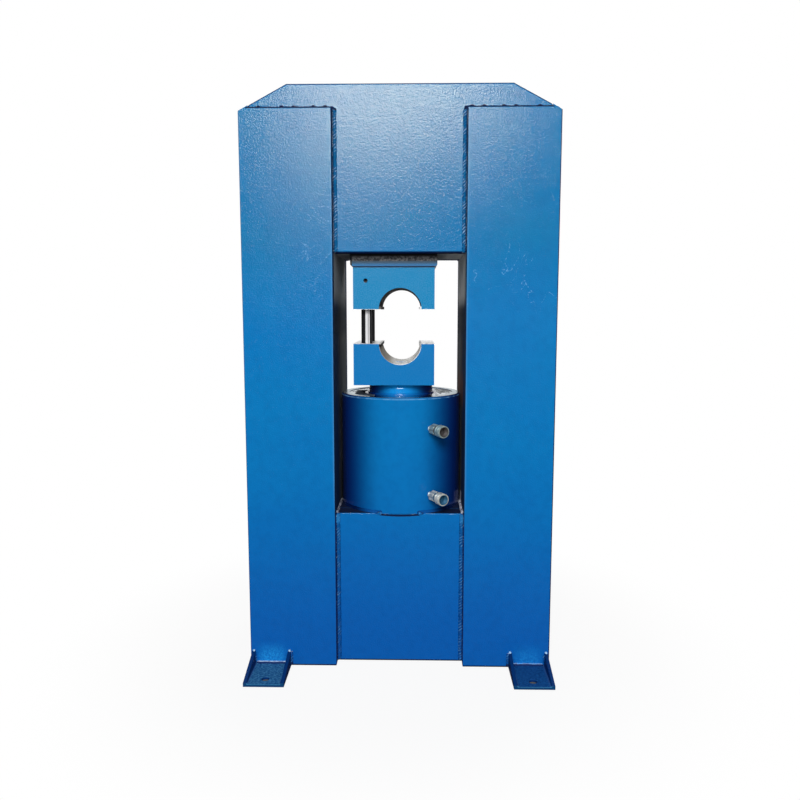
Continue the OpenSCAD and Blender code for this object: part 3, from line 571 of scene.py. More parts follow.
def die_enamel(name, parting, towards_seat, paint, peel, seat_left, seat_right, left_lip, right_lip):
    """Enamel of a die block with a painted highlight below the upper die's top and speckles of painted
    reflection, bare steel on its parting face, and on its half-round seat and its lips bare steel in listed
    tones of painted shade and painted reflection.
    """
    f = Finish(name)
    base, roughness, normal = enamel_layers(f, peel)
    base = f.blend(0.7, base, paint)
    # Painted reflection: light speckles over the paint, stronger with more orange peel.
    base = f.blend(f.within(f.noise(330.0, 1.0), 0.35, 0.65, 0.0, peel * 0.30), base, SCUFF_AND_HIGHLIGHT)
    # Painted highlight: a lighter band just below the upper die's top edge.
    painted_top_highlight = f.within(f.gap(f.z, UPPER_DIE_TOP), 2.6 * MM, 1.4 * MM)
    base = f.blend(f.product(painted_top_highlight, 0.5), base, colour(0.16, 0.44, 0.74))
    metal, metal_roughness, metal_normal = steel_layers(f, colour(0.74, 0.74, 0.74), colour(0.92, 0.92, 0.92))

    level = f.product(f.minus(f.z, parting), towards_seat)
    seat = f.within(f.reach(level, f.x), SEAT_RADIUS + 1.2 * MM, SEAT_RADIUS + 0.8 * MM)
    face = f.within(level, -0.9 * MM, -0.5 * MM)
    bare = f.either(seat, face)
    stains = f.noise(70.0, 4.0, 0.65, f.stretched((1.0, 0.15, 1.0)))
    rear_edge = f.within(f.y, DIE_REAR - 5 * MM, DIE_REAR - 3 * MM)
    by_parting = f.within(level, -7.6 * MM, -6.8 * MM)
    # Painted shade and painted reflection: the bare seat is darker on the left and paler on the right, with
    # stains, a painted shade line along the rear edge and listed lip tones.
    patchy = f.blend(f.within(f.x, -36 * MM, -4 * MM), seat_left, seat_right)
    patchy = f.blend(f.within(stains, 0.50, 0.62, 0.0, 0.5), patchy, seat_left)
    patchy = f.blend(f.product(rear_edge, 0.75), patchy, seat_left)
    for side, lip in ((-1, left_lip), (1, right_lip)):
        at_lip = f.product(by_parting, f.within(f.x, side * 38 * MM, side * 42 * MM))
        patchy = f.blend(at_lip, patchy, lip)
    return f.set(
        base_color=f.blend(bare, base, f.blend(face, patchy, metal)),
        roughness=f.mix(seat, f.mix(face, roughness, metal_roughness), 0.95),
        metallic=f.product(face, f.minus(1.0, seat)),
        normal=f.blend(bare, normal, metal_normal),
        specular_tint=PLAIN_GLOSS,
    )


def shaded_round_enamel(name, clear, far, peel, paint, share):
    """Enamel of an upright cylinder in the window, with painted shade darkening its flanks."""
    f = Finish(name)
    base, roughness, normal = enamel_layers(f, peel)
    f.set(specular_tint=PLAIN_GLOSS)
    # Painted shade: the sides darken to navy with distance from the middle.
    painted_flank_shade = f.within(f.gap(f.x), clear, far)
    return f, f.blend(painted_flank_shade, f.blend(share, base, paint), colour(0.0011, 0.016, 0.125)), roughness, normal


def barrel_enamel():
    """Enamel of the barrel, with a patchy painted highlight along the rim's bevel, bare on the turned rim."""
    f, base, roughness, normal = shaded_round_enamel(
        "barrel_blue_enamel", 42 * MM, 138 * MM, 0.10, ENAMEL, 0.0
    )
    level = f.minus(f.z, BARREL_TOP)
    # Painted highlight: a patchy lighter line along the lower edge of the rim's bevel.
    painted_highlight = f.band(level, -5.6 * MM, -4.6 * MM, -3.6 * MM, -2.6 * MM)
    patchy = f.within(f.noise(60.0, 3.0), 0.35, 0.6, 0.1, 0.6)
    base = f.blend(f.product(painted_highlight, patchy), base, SCUFF_AND_HIGHLIGHT)
    bare = f.within(level, -0.9 * MM, -0.5 * MM)
    return f.set(
        base_color=f.blend(bare, base, colour(0.38, 0.43, 0.46)),
        roughness=f.mix(bare, roughness, 0.22),
        metallic=bare,
        normal=normal,
        specular_tint=colour(0.76, 0.80, 0.82),
    )


def ram_enamel():
    """Smooth enamel of the ram's end, painted brighter in the middle as painted light."""
    # Painted light: a brighter blue for the ram's middle, making up for the shade under the lower die.
    bright = colour(0.0050, 0.235, 0.610)
    f, base, _, normal = shaded_round_enamel("ram_blue_enamel", 12 * MM, 68 * MM, 0.05, bright, 0.85)
    return f.set(base_color=base, roughness=0.14, normal=normal, specular_ior_level=0.5)


def scraper_blue():
    """Blue scraper ring round the ram, dark where the ram shades it."""
    blue = colour(0.004, 0.160, 0.480)
    f, base, _, normal = shaded_round_enamel("blue_scraper_ring", 14 * MM, 72 * MM, 0.05, blue, 0.8)
    return f.set(base_color=base, roughness=0.18, normal=normal, specular_ior_level=0.5)


def bed_enamel():
    """Enamel of the bed, with painted shade over its top, a painted shadow under the front of the barrel and
    painted shade along its floor edge.
    """
    f = Finish("bed_blue_enamel_paint")
    base, roughness, normal = enamel_layers(f)
    level = f.minus(f.z, BED_TOP)
    # Painted shade: the top face goes dark navy behind its front edge.
    on_top = f.product(
        f.within(level, -0.6 * MM, -0.1 * MM), f.within(f.behind(CORE_FACE), 1.6 * MM, 2.4 * MM)
    )
    # Painted shadow: a dark curved line on the front face under the barrel's overhang.
    bend = 1.2
    sag = f.minus(level, f.product(f.x, f.x, bend))
    painted_overhang_shadow = f.product(
        f.within(f.gap(sag, -5.6 * MM), 2.9 * MM, 1.9 * MM), f.within(f.gap(f.x), 50 * MM, 45 * MM)
    )
    dark = f.either(on_top, painted_overhang_shadow, floor_edge(f))
    base = f.blend(dark, base, DARK_NAVY)
    return f.set(base_color=base, roughness=f.mix(dark, roughness, 0.9), normal=normal)


def turned_steel():
    """Bright turned ring with fine tool rings, oily smears on its right and painted shade left of the ram."""
    f = Finish("bright_turned_steel")
    rings = f.wave(240.0, 0.6, 1.0, wave_type="RINGS", rings_direction="Z")
    stains = f.noise(26.0, 4.0, 0.6)
    stained = f.within(stains, 0.45, 0.75, 0.0, 0.6)
    smears = f.noise(38.0, 4.0, 0.7, f.stretched((1.0, 0.35, 1.0)))
    oily = f.product(f.within(smears, 0.40, 0.50), f.within(f.x, 82 * MM, 94 * MM))
    # Painted shade: a dark, dull patch on the ring beside the ram's left side.
    left_of_ram = f.band(f.x, -117 * MM, -109 * MM, -68 * MM, -60 * MM)
    painted_ram_shade = f.product(left_of_ram, f.within(f.y, 52 * MM, 30 * MM))
    oil_and_shade = f.either(painted_ram_shade, f.product(oily, 0.7))
    base = f.blend(stained, colour(0.52, 0.56, 0.58), colour(0.38, 0.41, 0.43))
    base = f.blend(f.product(oily, 0.85), base, colour(0.17, 0.18, 0.18))
    base = f.blend(f.product(painted_ram_shade, 0.92), base, colour(0.030, 0.050, 0.085))
    return f.set(
        base_color=base,
        roughness=f.mix(oil_and_shade, f.within(stains, 0.3, 0.7, 0.10, 0.22), 0.9),
        metallic=f.minus(1.0, oil_and_shade),
        normal=f.bump(rings, 0.06, 0.2 * MM),
        specular_tint=colour(0.80, 0.83, 0.85),
    )


def bare_steel():
    f = Finish("machined_bare_steel")
    base, roughness, normal = steel_layers(f)
    return f.set(base_color=base, roughness=roughness, normal=normal, metallic=1.0)


def window_plate_reflections():
    """Plate inside the window whose grey tones are painted reflection of the surroundings at a grazing view:
    navy overspray in front, darker between the dies, and paler above them and towards the rear.

    The right wall also has a bright painted reflection high up, a brown painted reflection beside the ram and
    a pale streak by the bed.
    """
    f = Finish("window_plate_with_painted_reflections")
    on_right = f.within(f.x, 0.10, 0.12)
    above = f.minus(f.z, UPPER_PARTING)
    reach = f.minus(f.product(f.noise(16.0, 3.0), 60 * MM), f.y)
    streaks = f.within(f.noise(7.0, 4.0, 0.6, f.stretched((1.0, 7.0, 0.8))), 0.3, 0.7)
    to_rear = f.within(f.y, -20 * MM, 60 * MM, 0.0, 0.5)
    overspray = f.within(reach, 20 * MM, 130 * MM, 0.0, 0.90)
    darkened = f.within(f.gap(above, -31.5 * MM), 50 * MM, 15 * MM, 0.0, 0.65)
    # Painted reflection: paler above the dies.
    pale = f.within(above, -1.5 * MM, 48.5 * MM, 0.0, 0.8)
    beside_ram = f.band(f.minus(f.z, BARREL_TOP), -50 * MM, -10 * MM, 20 * MM, 70 * MM)
    # Painted reflection: brown beside the ram on the right wall.
    painted_brown_reflection = f.product(on_right, beside_ram, f.within(reach, 150 * MM, 90 * MM, 0.0, 0.7))
    high_up = f.within(above, -1.5 * MM, 38.5 * MM)
    # Painted reflection: bright high up on the right wall.
    painted_highlight = f.product(on_right, high_up, f.within(reach, 165 * MM, 130 * MM), 0.9)
    beside_barrel = f.within(f.gap(f.y, -40 * MM), 18 * MM, 12 * MM)
    by_bed = f.band(f.minus(f.z, BED_TOP), 2 * MM, 5 * MM, 27 * MM, 33 * MM)
    pale_streak = f.product(by_bed, beside_barrel, on_right)
    # Painted reflection: the grey streaked tones of the walls, lighter towards the rear.
    base = f.blend(streaks, colour(0.060, 0.064, 0.070), colour(0.150, 0.154, 0.155))
    for share, tone in (
        (to_rear, colour(0.18, 0.19, 0.19)),
        (overspray, colour(0.0060, 0.036, 0.110)),
        (darkened, colour(0.010, 0.020, 0.036)),
        (pale, colour(0.56, 0.56, 0.54)),
        (painted_brown_reflection, colour(0.180, 0.085, 0.060)),
        (painted_highlight, colour(0.96, 0.92, 0.86)),
        (pale_streak, colour(0.92, 0.90, 0.96)),
    ):
        base = f.blend(share, base, tone)
    grains = f.bump(f.noise(300.0, 2.0), 0.15, 0.4 * MM)
    return f.set(base_color=base, roughness=0.92, normal=grains, specular_ior_level=0.05)


def backing_enamel():
    """Blue on the lowest edge of the backing plate with painted shade along its foot, rough scale above it
    where the spray did not reach, and a painted shadow of the crown across its top.
    """
    f = Finish("half_sprayed_backing_plate")
    base, _, normal = enamel_layers(f)
    grit = f.noise(210.0, 3.0, 0.65)
    level = f.minus(f.z, BACKING_BOTTOM)
    ragged = f.math("ADD", level, f.product(grit, 2.5 * MM))
    bare = f.within(ragged, 13.0 * MM, 16.0 * MM)
    left_end = f.within(f.minus(f.x, BACKING_LEFT), 5 * MM, 3.5 * MM)
    scale = f.blend(f.within(grit, 0.36, 0.64), colour(0.026, 0.028, 0.034), colour(0.150, 0.150, 0.155))
    # Painted shadow: the crown's overhang darkens the plate's top to near black.
    scale = f.blend(f.within(level, 22 * MM, 27 * MM), scale, colour(0.010, 0.010, 0.011))
    base = f.blend(0.35, base, colour(0.020, 0.100, 0.230))
    base = f.blend(f.within(level, 3 * MM, 11 * MM, 0.0, 0.85), base, colour(0.024, 0.048, 0.074))
    # Painted shade: a dark line along the plate's foot.
    base = f.blend(f.within(level, 2.2 * MM, 1.4 * MM), base, DARK_NAVY)
    return f.set(
        base_color=f.blend(left_end, f.blend(bare, base, scale), colour(0.008, 0.010, 0.014)),
        roughness=f.mix(bare, 0.45, 0.8),
        normal=f.bump(grit, f.mix(bare, 0.05, 0.35), 1.0 * MM, normal),
    )


def plain_metal(name, dark, light, rough_low, rough_high, metallic=1.0):
    """Plated or polished metal with a slight cloudiness."""
    f = Finish(name)
    clouds = f.noise(140.0, 3.0, 0.6)
    return f.set(
        base_color=f.blend(f.within(clouds, 0.3, 0.7), dark, light),
        roughness=f.within(clouds, 0.3, 0.7, rough_low, rough_high),
        metallic=metallic,
        normal=f.bump(clouds, 0.06, 0.2 * MM),
    )


def ground_chrome():
    """Ground guide pins, dark with a painted reflection: a bright band on the sides that face out of the
    press.
    """
    f = Finish("ground_chrome_pins")
    rings = f.noise(1.0, 2.0, 0.6, f.stretched((40.0, 40.0, 2600.0)))
    sideways, rearwards, _ = f.facing()
    # Painted reflection: a bright band with a grey line in it on the pins' outward sides; dark elsewhere.
    outwards = f.within(f.product(rearwards, f.y), 0.0, 20 * MM)
    painted_reflection_band = f.product(f.within(f.gap(sideways, 0.22), 0.44, 0.34), outwards)
    line = f.within(f.gap(sideways, 0.34), 0.10, 0.04)
    bright = f.blend(f.product(line, 0.75), colour(0.64, 0.64, 0.66), colour(0.14, 0.14, 0.15))
    return f.set(
        base_color=f.blend(painted_reflection_band, colour(0.012, 0.012, 0.015), bright),
        roughness=f.mix(painted_reflection_band, f.within(rings, 0.3, 0.7, 0.45, 0.55), 0.35),
        normal=f.bump(rings, 0.15, 0.12 * MM),
        specular_ior_level=0.2,
    )


def socket_zinc(position, dark, light, inside):
    """Dull zinc of the upper or the lower coupler, darker inside its socket as painted shade."""
    f = Finish(f"{position}_coupler_zinc")
    clouds = f.noise(140.0, 3.0, 0.6)
    across = f.math(
        "ADD", f.product(f.x, math.cos(COUPLER_TURN)), f.product(f.y, math.sin(COUPLER_TURN))
    )
    off_axis = f.reach(across, f.minus(f.z, port_height(position)))
    # Painted shade: the inside colour fills the socket's recess.
    socket = f.within(off_axis, 12.4 * MM, 11.6 * MM)
    zinc = f.blend(f.within(clouds, 0.3, 0.7), dark, light)
    return f.set(
        base_color=f.blend(socket, zinc, inside),
        roughness=f.mix(socket, f.within(clouds, 0.3, 0.7, 0.30, 0.45), 0.62),
        metallic=0.4,
        normal=f.bump(clouds, 0.06, 0.2 * MM),
    )


def seal_rubber():
    f = Finish("black_seal_rubber")
    grain = f.noise(500.0, 2.0)
    return f.set(
        base_color=f.blend(grain, colour(0.012, 0.012, 0.012), colour(0.030, 0.030, 0.030)),
        roughness=f.within(grain, 0.3, 0.7, 0.42, 0.6),
        normal=f.bump(grain, 0.1, 0.2 * MM),
    )


blue_enamel = plain_enamel()
crown_face_enamel = crown_enamel()
column_enamel = scuffed_enamel()
bead_enamel = weld_enamel()
dusty_enamel = foot_enamel()
lower_die_enamel = die_enamel(
    "lower_die_enamel_and_bare_seat",
    LOWER_PARTING,
    towards_seat=1.0,
    paint=colour(0.0035, 0.160, 0.430),
    peel=0.15,
    seat_left=colour(0.30, 0.28, 0.25),
    seat_right=colour(0.92, 0.92, 0.90),
    left_lip=SHADE_BLACK,
    right_lip=colour(0.30, 0.30, 0.30),
)
# The upper die's lighter, greener paint is a painted reflection.
upper_die_enamel = die_enamel(
    "upper_die_enamel_and_bare_seat",
    UPPER_PARTING,
    towards_seat=-1.0,
    paint=colour(0.006, 0.215, 0.420),
    peel=0.4,
    seat_left=SHADE_BLACK,
    seat_right=colour(0.016, 0.016, 0.016),
    left_lip=colour(0.10, 0.095, 0.09),
    right_lip=colour(0.70, 0.70, 0.70),
)
cylinder_enamel = barrel_enamel()
ram_end_enamel = ram_enamel()
scraper_finish = scraper_blue()
bed_face_enamel = bed_enamel()
backing_plate_finish = backing_enamel()
window_plate_finish = window_plate_reflections()
gland_steel = turned_steel()
machined_steel = bare_steel()
pin_chrome = ground_chrome()
bright_zinc = plain_metal(
    "bright_zinc_plate", colour(0.66, 0.67, 0.68), colour(0.82, 0.83, 0.83), 0.18, 0.30
)
pale_zinc = plain_metal(
    "pale_zinc_plate", colour(0.62, 0.74, 0.76), colour(0.78, 0.86, 0.86), 0.25, 0.35, 0.3
)
upper_zinc = socket_zinc(
    "upper", colour(0.22, 0.31, 0.30), colour(0.40, 0.50, 0.48), colour(0.075, 0.068, 0.068)
)
lower_zinc = socket_zinc(
    "lower", colour(0.46, 0.47, 0.42), colour(0.74, 0.74, 0.67), colour(0.022, 0.115, 0.220)
)
black_oxide = plain_metal(
    "black_oxide_screws", colour(0.020, 0.020, 0.022), colour(0.045, 0.045, 0.050), 0.35, 0.5
)
bearing_bronze = plain_metal(
    "bearing_bronze", colour(0.45, 0.27, 0.10), colour(0.60, 0.40, 0.17), 0.25, 0.4
)
black_rubber = seal_rubber()


# Frame plates and feet


def outward_rim(above):
    """Picks the edges round the outward face of a crown or bed plate, above a level."""
    return lambda middle: abs(abs(middle.y) - abs(CORE_FACE)) < 0.5 * MM and middle.z > above


for end in ("front", "rear"):
    for side in ("left", "right"):
        column = f"{side}_{end}_column_plate"
        dress(eased_copy(column, 1.6 * MM), column_enamel, "blue_enamel", "frame", column)
        foot = f"{side}_{end}_foot"
        dress(eased_copy(foot, 1.2 * MM), dusty_enamel, "blue_enamel", "frame", foot)
    for node, width, finish, above in (
        (f"crown_{end}_plate", 4.0 * MM, crown_face_enamel, CROWN_BOTTOM + 5 * MM),
        (f"bed_{end}_plate", 2.0 * MM, bed_face_enamel, BED_TOP - 5 * MM),
    ):
        dress(eased_copy(node, width, outward_rim(above)), finish, "blue_enamel", "frame", node)


# Weld beads

FRAME_LEG = 11 * MM
TOP_LEG = 12 * MM
FOOT_LEG = 6 * MM
INSIDE_FOOT_LEG = 3.5 * MM
WALL_LEG = 5.5 * MM
WALL_TAIL_LEG = 3 * MM
BARREL_LEG = 7 * MM
PITCH = 6.6 * MM
FINE_PITCH = 4.2 * MM


def drop_shape(middle, along, outward, leg, pitch):
    """One solidified drop of weld metal, flattened and leaning back along the bead."""
    across = outward.cross(along)
    lean = Matrix.Rotation(math.radians(28), 3, "Z") @ Matrix.Rotation(math.radians(-20), 3, "Y")
    turn = Matrix((along, across, outward)).transposed() @ lean
    bpy.ops.object.select_all(action="DESELECT")
    bpy.ops.mesh.primitive_uv_sphere_add(
        segments=16,
        ring_count=10,
        radius=1,
        location=middle + outward * 0.34 * leg,
        rotation=turn.to_euler(),
        scale=(0.80 * pitch, 0.86 * leg, 0.46 * leg),
    )
    bpy.ops.object.transform_apply(location=True, rotation=True, scale=True)
    return bpy.context.object


def straight_bead(start, end, leg_a, leg_b, leg, pitch):
    """Overlapping drops from start to end, in the corner between the directions leg_a and leg_b."""
    run = end - start
    count = max(2, round(run.length / pitch))
    drop = drop_shape(start, run.normalized(), (leg_a + leg_b).normalized(), leg, pitch)
    add_modifier(
        drop,
        "ARRAY",
        count=count,
        use_relative_offset=False,
        use_constant_offset=True,
        constant_offset_displace=run / (count - 1),
    )
    return drop


def round_bead(radius, height, start, end, leg, pitch):
    """Overlapping drops round the foot of the barrel, between two angles from +X."""
    count = round(radius * abs(end - start) / pitch)
    away = Vector((math.cos(start), math.sin(start), 0))
    along = Vector((-math.sin(start), math.cos(start), 0))
    drop = drop_shape(away * radius + UP * height, along, (away + UP).normalized(), leg, pitch)
    only(drop)
    bpy.ops.object.mode_set(mode="EDIT")
    bpy.ops.mesh.select_all(action="SELECT")
    bpy.ops.mesh.spin(steps=count, angle=start - end, dupli=True, center=(0, 0, 0), axis=(0, 0, 1))
    bpy.ops.object.mode_set(mode="OBJECT")
    return drop


def fuse_beads(rows, name, grain):
    """Melt the drops of several beads together, roughen them and thin the mesh."""
    bead = join(rows, name)
    add_modifier(bead, "REMESH", mode="VOXEL", voxel_size=grain, use_smooth_shade=True)
    ripple = bpy.data.textures.new(name + "_unevenness", type="CLOUDS")
    ripple.noise_scale = 9 * MM
    add_modifier(bead, "DISPLACE", texture=ripple, texture_coords="LOCAL", strength=1.4 * MM, mid_level=0.5)
    add_modifier(bead, "DECIMATE", ratio=0.5)
    only(bead)
    bpy.ops.object.shade_smooth()
    return bead


def column_rows(side, end):
    """Beads of one column plate and its foot. side is +1 on the right, end is -1 at the front."""
    inwards = Vector((-side, 0, 0))
    outwards = Vector((0, end, 0))
    slanting = (outwards + UP).normalized()
    corner = Vector((side * HALF_WINDOW, end * abs(CORE_FACE), 0))
    column_end = Vector((side * (COLUMN_HIGH.x - 16 * MM), corner.y, COLUMN_TOP))
    column_start = corner + UP * COLUMN_TOP

    def foot_point(from_inner, height):
        """Point on the column's face, counted outwards from the inner flange of the foot."""
        return Vector((side * (FOOT_LOW.x + from_inner), end * abs(FRONT_FACE), height))

    foot_width = FOOT_HIGH.x - FOOT_LOW.x
    web_start = foot_point(FOOT_FLANGE + FOOT_ROOT, FOOT_WEB)
    web_end = foot_point(foot_width - FOOT_FLANGE - FOOT_ROOT, FOOT_WEB)
    flange_foot = foot_point(0, FOOT_WEB)
    flange_head = flange_foot + UP * (FOOT_HIGH.z - 10 * MM)
    inside_foot = foot_point(foot_width - FOOT_FLANGE, FOOT_WEB + FOOT_ROOT + 3 * MM)
    inside_head = inside_foot + UP * (FOOT_HIGH.z - 22 * MM)
    rows = []
    for low, high in ((9 * MM, BED_TOP - 5 * MM), (CROWN_BOTTOM + 5 * MM, COLUMN_TOP)):
        rows.append(straight_bead(corner + UP * low, corner + UP * high, inwards, outwards, FRAME_LEG, PITCH))
    rows.append(straight_bead(column_start, column_end, outwards, UP, TOP_LEG, PITCH))
    rows.append(straight_bead(web_start, web_end, outwards, UP, FOOT_LEG, FINE_PITCH))
    rows.append(straight_bead(flange_foot, flange_head, inwards, outwards, FOOT_LEG, FINE_PITCH))
    rows.append(straight_bead(inside_foot, inside_head, inwards, outwards, INSIDE_FOOT_LEG, FINE_PITCH))
    for share in (0.07, 0.21, 0.44, 0.58, 0.86):
        place = column_start.lerp(column_end, share)
        rows.append(drop_shape(place, Vector((side, 0, 0)), slanting, 14.5 * MM, 8 * MM))
    for from_inner in (FOOT_FLANGE / 2, foot_width - FOOT_FLANGE / 2):
        place = foot_point(from_inner, FOOT_HIGH.z - 1 * MM)
        rows.append(drop_shape(place, Vector((1, 0, 0)), slanting, 4.6 * MM, 4.0 * MM))
    return rows


def bed_rows(side, end):
    """Beads of one quarter of the bed: along a window wall, with a thin tail, and round the barrel."""
    inwards = Vector((-side, 0, 0))
    near, far, tail = (
        Vector((side * HALF_WINDOW, end * depth, BED_TOP))
        for depth in (abs(CORE_FACE) - 4 * MM, 38 * MM, 10 * MM)
    )
    straight_on = math.atan2(end, 0)
    first, last = (straight_on + side * end * math.radians(angle) for angle in (18, 63))
    return [
        straight_bead(near, far, inwards, UP, WALL_LEG, PITCH),
        straight_bead(far, tail, inwards, UP, WALL_TAIL_LEG, FINE_PITCH),
        round_bead(BARREL_RADIUS, BED_TOP, first, last, BARREL_LEG, PITCH),
    ]


for end, name in ((-1, "front"), (1, "rear")):
    beads = fuse_beads(column_rows(-1, end) + column_rows(1, end), f"{name}_weld_beads", 1.1 * MM)
    dress(beads, bead_enamel, "blue_enamel", "frame", f"{name}_welds")
quarters = [row for side in (-1, 1) for end in (-1, 1) for row in bed_rows(side, end)]
bed_beads = fuse_beads(quarters, "bed_top_weld_beads", 1.0 * MM)
dress(bed_beads, bead_enamel, "blue_enamel", "frame", "bed_top_welds")


# Cylinder, ram and dies


def ram_rim(middle):
    """Picks the edge round the ram's end."""
    return middle.z > BARREL_TOP and middle.xy.length > 70 * MM


for node, width, finish, slot, body in (
    ("cylinder_barrel", 0.7 * MM, cylinder_enamel, "blue_enamel", "frame"),
    ("gland", 0.6 * MM, gland_steel, "turned_steel", "frame"),
    ("lower_die", 0.7 * MM, lower_die_enamel, "blue_enamel", "ram"),
    ("upper_die", 0.7 * MM, upper_die_enamel, "blue_enamel", "frame"),
    ("die_backing_plate", 1.0 * MM, backing_plate_finish, "blue_enamel", "frame"),
):
    dress(eased_copy(node, width), finish, slot, body, node)
wiper = eased_copy("wiper_ring", 0.9 * MM, steps=4)
dress(wiper, scraper_finish, "blue_scraper", "frame", "wiper_ring")
ram_copy = eased_copy("ram", 2.6 * MM, ram_rim, steps=5, sharpness=12)
dress(ram_copy, ram_end_enamel, "blue_enamel", "ram", "ram")


# Couplers, modelled about Z in millimetres, with heights counted from the barrel's axis

NIPPLE_START = 134
NIPPLE_END = 172
NIPPLE_BORE = 3.5
NIPPLE_SHANK = 6.4
NIPPLE_ROOT = 5.9
NIPPLE_COLLAR = 6.5
NIPPLE_PITCH = 1.1
HEXAGON_START = 164
HEXAGON_END = 184
HEXAGON_INNER = 12
HEXAGON_OUTER = 14.2
BODY_BORE = 5.5
BODY_FACE = 195.9
POPPET_HOLE = 4.0
NECK = 8.0
NECK_GROOVE = 7.4
FLANGE = 9.7
FLANGE_START = 193
SLEEVE_START = 186
SLEEVE_END = 213
SLEEVE_RADIUS = 14.5
SLEEVE_BORE = 10.0
SLEEVE_NECK = 8.06
FLANGE_ROOM = 10.3
FLANGE_STOP = 192.7
GROOVE_FLOOR = 13.9
POPPET_STEM = 2.5
POPPET_SHOULDER = 5.2
POPPET_HEAD = 3.94
POPPET_START = 186.2
POPPET_END = 196
SPRING_WIRE = 0.6
SPRING_RADIUS = 4.6
SPRING_START = 172.7
SPRING_PITCH = 3.36


def place_coupler_part(piece, part, finishes, slot, bodies):
    """Set the piece at both ports of the barrel, each copy with its own mesh, and give the copies."""
    copies = {}
    for position, finish, body in zip(("upper", "lower"), finishes, bodies):
        copy = bpy.data.objects.new(f"{position}_{piece.name}", piece.data.copy())
        bpy.context.collection.objects.link(copy)
        copy.location = (0, 0, port_height(position))
        copy.rotation_euler = (math.pi / 2, 0, COUPLER_TURN)
        only(copy)
        bpy.ops.object.transform_apply(location=True, rotation=True, scale=True)
        smooth(copy)
        copies[position] = dress(copy, finish, slot, body, f"{position}_coupler_{part}")
    bpy.data.objects.remove(piece)
    return copies


def threaded_nipple():
    """Nipple with a shank in the barrel, a collar and the two stretches of thread that show."""
    nipple = turned(
        "threaded_nipple",
        [(NIPPLE_BORE, NIPPLE_START), (NIPPLE_SHANK - 0.4, NIPPLE_START), (NIPPLE_SHANK, NIPPLE_START + 1),
         (NIPPLE_SHANK, 150.5), (NIPPLE_ROOT, 151.5), (NIPPLE_ROOT, 154), (NIPPLE_COLLAR, 155),
         (NIPPLE_COLLAR, 161), (NIPPLE_ROOT, 162), (NIPPLE_ROOT, NIPPLE_END - 1),
         (NIPPLE_ROOT - 0.5, NIPPLE_END), (NIPPLE_BORE, NIPPLE_END)],
    )
    in_barrel = thread_coil("nipple_thread_in_barrel", NIPPLE_ROOT, 152.2, 154.5, NIPPLE_PITCH, 0.55)
    in_body = thread_coil("nipple_thread_in_body", NIPPLE_ROOT, 162.0, 165.5, NIPPLE_PITCH, 0.55)
    return join([nipple, in_barrel, in_body], "threaded_nipple")


def hexagon_body():
    """Hexagon with turned chamfers, its neck and the flange that keeps the sleeve on."""
    bpy.ops.object.select_all(action="DESELECT")
    bpy.ops.mesh.primitive_cylinder_add(
        vertices=6,
        radius=HEXAGON_INNER / math.cos(math.pi / 6) * MM,
        depth=(HEXAGON_END - HEXAGON_START) * MM,
        location=(0, 0, (HEXAGON_START + HEXAGON_END) / 2 * MM),
    )
    hexagon = bpy.context.object
    bpy.ops.object.transform_apply(location=True, rotation=True, scale=True)
    start, end = HEXAGON_START - 0.1, HEXAGON_END + 0.1
    chamfers = turned(
        "hexagon_chamfers",
        [(0, start), (11.6, start), (HEXAGON_OUTER, start + 1.5), (HEXAGON_OUTER, end - 1.5), (11.6, end),
         (0, end)],
        72,
    )
    socket_end = NIPPLE_END + 0.1
    bore = turned(
        "nipple_socket",
        [(0, HEXAGON_START - 1), (NIPPLE_COLLAR + 0.1, HEXAGON_START - 1), (NIPPLE_COLLAR + 0.1, socket_end),
         (BODY_BORE, socket_end), (BODY_BORE, HEXAGON_END + 1), (0, HEXAGON_END + 1)],
    )
    for operation, tool in (("INTERSECT", chamfers), ("DIFFERENCE", bore)):
        add_modifier(hexagon, "BOOLEAN", operation=operation, solver="EXACT", object=tool)
        bpy.data.objects.remove(tool)
    neck = turned(
        "coupler_neck",
        [(BODY_BORE, 180), (NECK_GROOVE, 180), (NECK_GROOVE, 184.8), (NECK, 185.4), (NECK, FLANGE_START),
         (FLANGE - 0.3, FLANGE_START), (FLANGE, FLANGE_START + 0.3), (FLANGE, BODY_FACE - 0.5),
         (FLANGE - 0.5, BODY_FACE), (7.6, BODY_FACE), (7.3, BODY_FACE - 0.4), (6.4, BODY_FACE - 0.4),
         (6.1, BODY_FACE), (POPPET_HOLE + 0.1, BODY_FACE), (POPPET_HOLE, BODY_FACE - 0.1),
         (POPPET_HOLE, 193.5), (BODY_BORE, 193.5)],
    )
    return join([hexagon, neck], "hexagon_body")


def groove(middle):
    """Outline of a shallow groove turned into the sleeve."""
    return [(SLEEVE_RADIUS, middle - 1.1), (GROOVE_FLOOR, middle - 0.6),
            (GROOVE_FLOOR, middle + 0.6), (SLEEVE_RADIUS, middle + 1.1)]


def coupler_collar():
    """Sleeve that turns on the body's neck, with two outer grooves and an inner thread."""
    outside = [(SLEEVE_NECK, SLEEVE_START), (11.1, SLEEVE_START), (11.5, SLEEVE_START + 0.4),
               (GROOVE_FLOOR, 192.6), (SLEEVE_RADIUS, 193.6)] + groove(198.5) + groove(207.7)
    mouth = [(SLEEVE_RADIUS, SLEEVE_END - 1.2), (13.6, SLEEVE_END - 0.1), (12.9, SLEEVE_END),
             (10.9, SLEEVE_END), (SLEEVE_BORE, SLEEVE_END - 0.9)]
    inside = [(SLEEVE_BORE, POPPET_END), (FLANGE_ROOM, POPPET_END), (FLANGE_ROOM, FLANGE_STOP),
              (SLEEVE_NECK, FLANGE_STOP)]
    sleeve = turned("coupler_collar", outside + mouth + inside, 64)
    thread = thread_coil("collar_inner_thread", SLEEVE_BORE, 199.5, 211.5, 1.5, 0.6, True)
    return join([sleeve, thread], "coupler_collar")


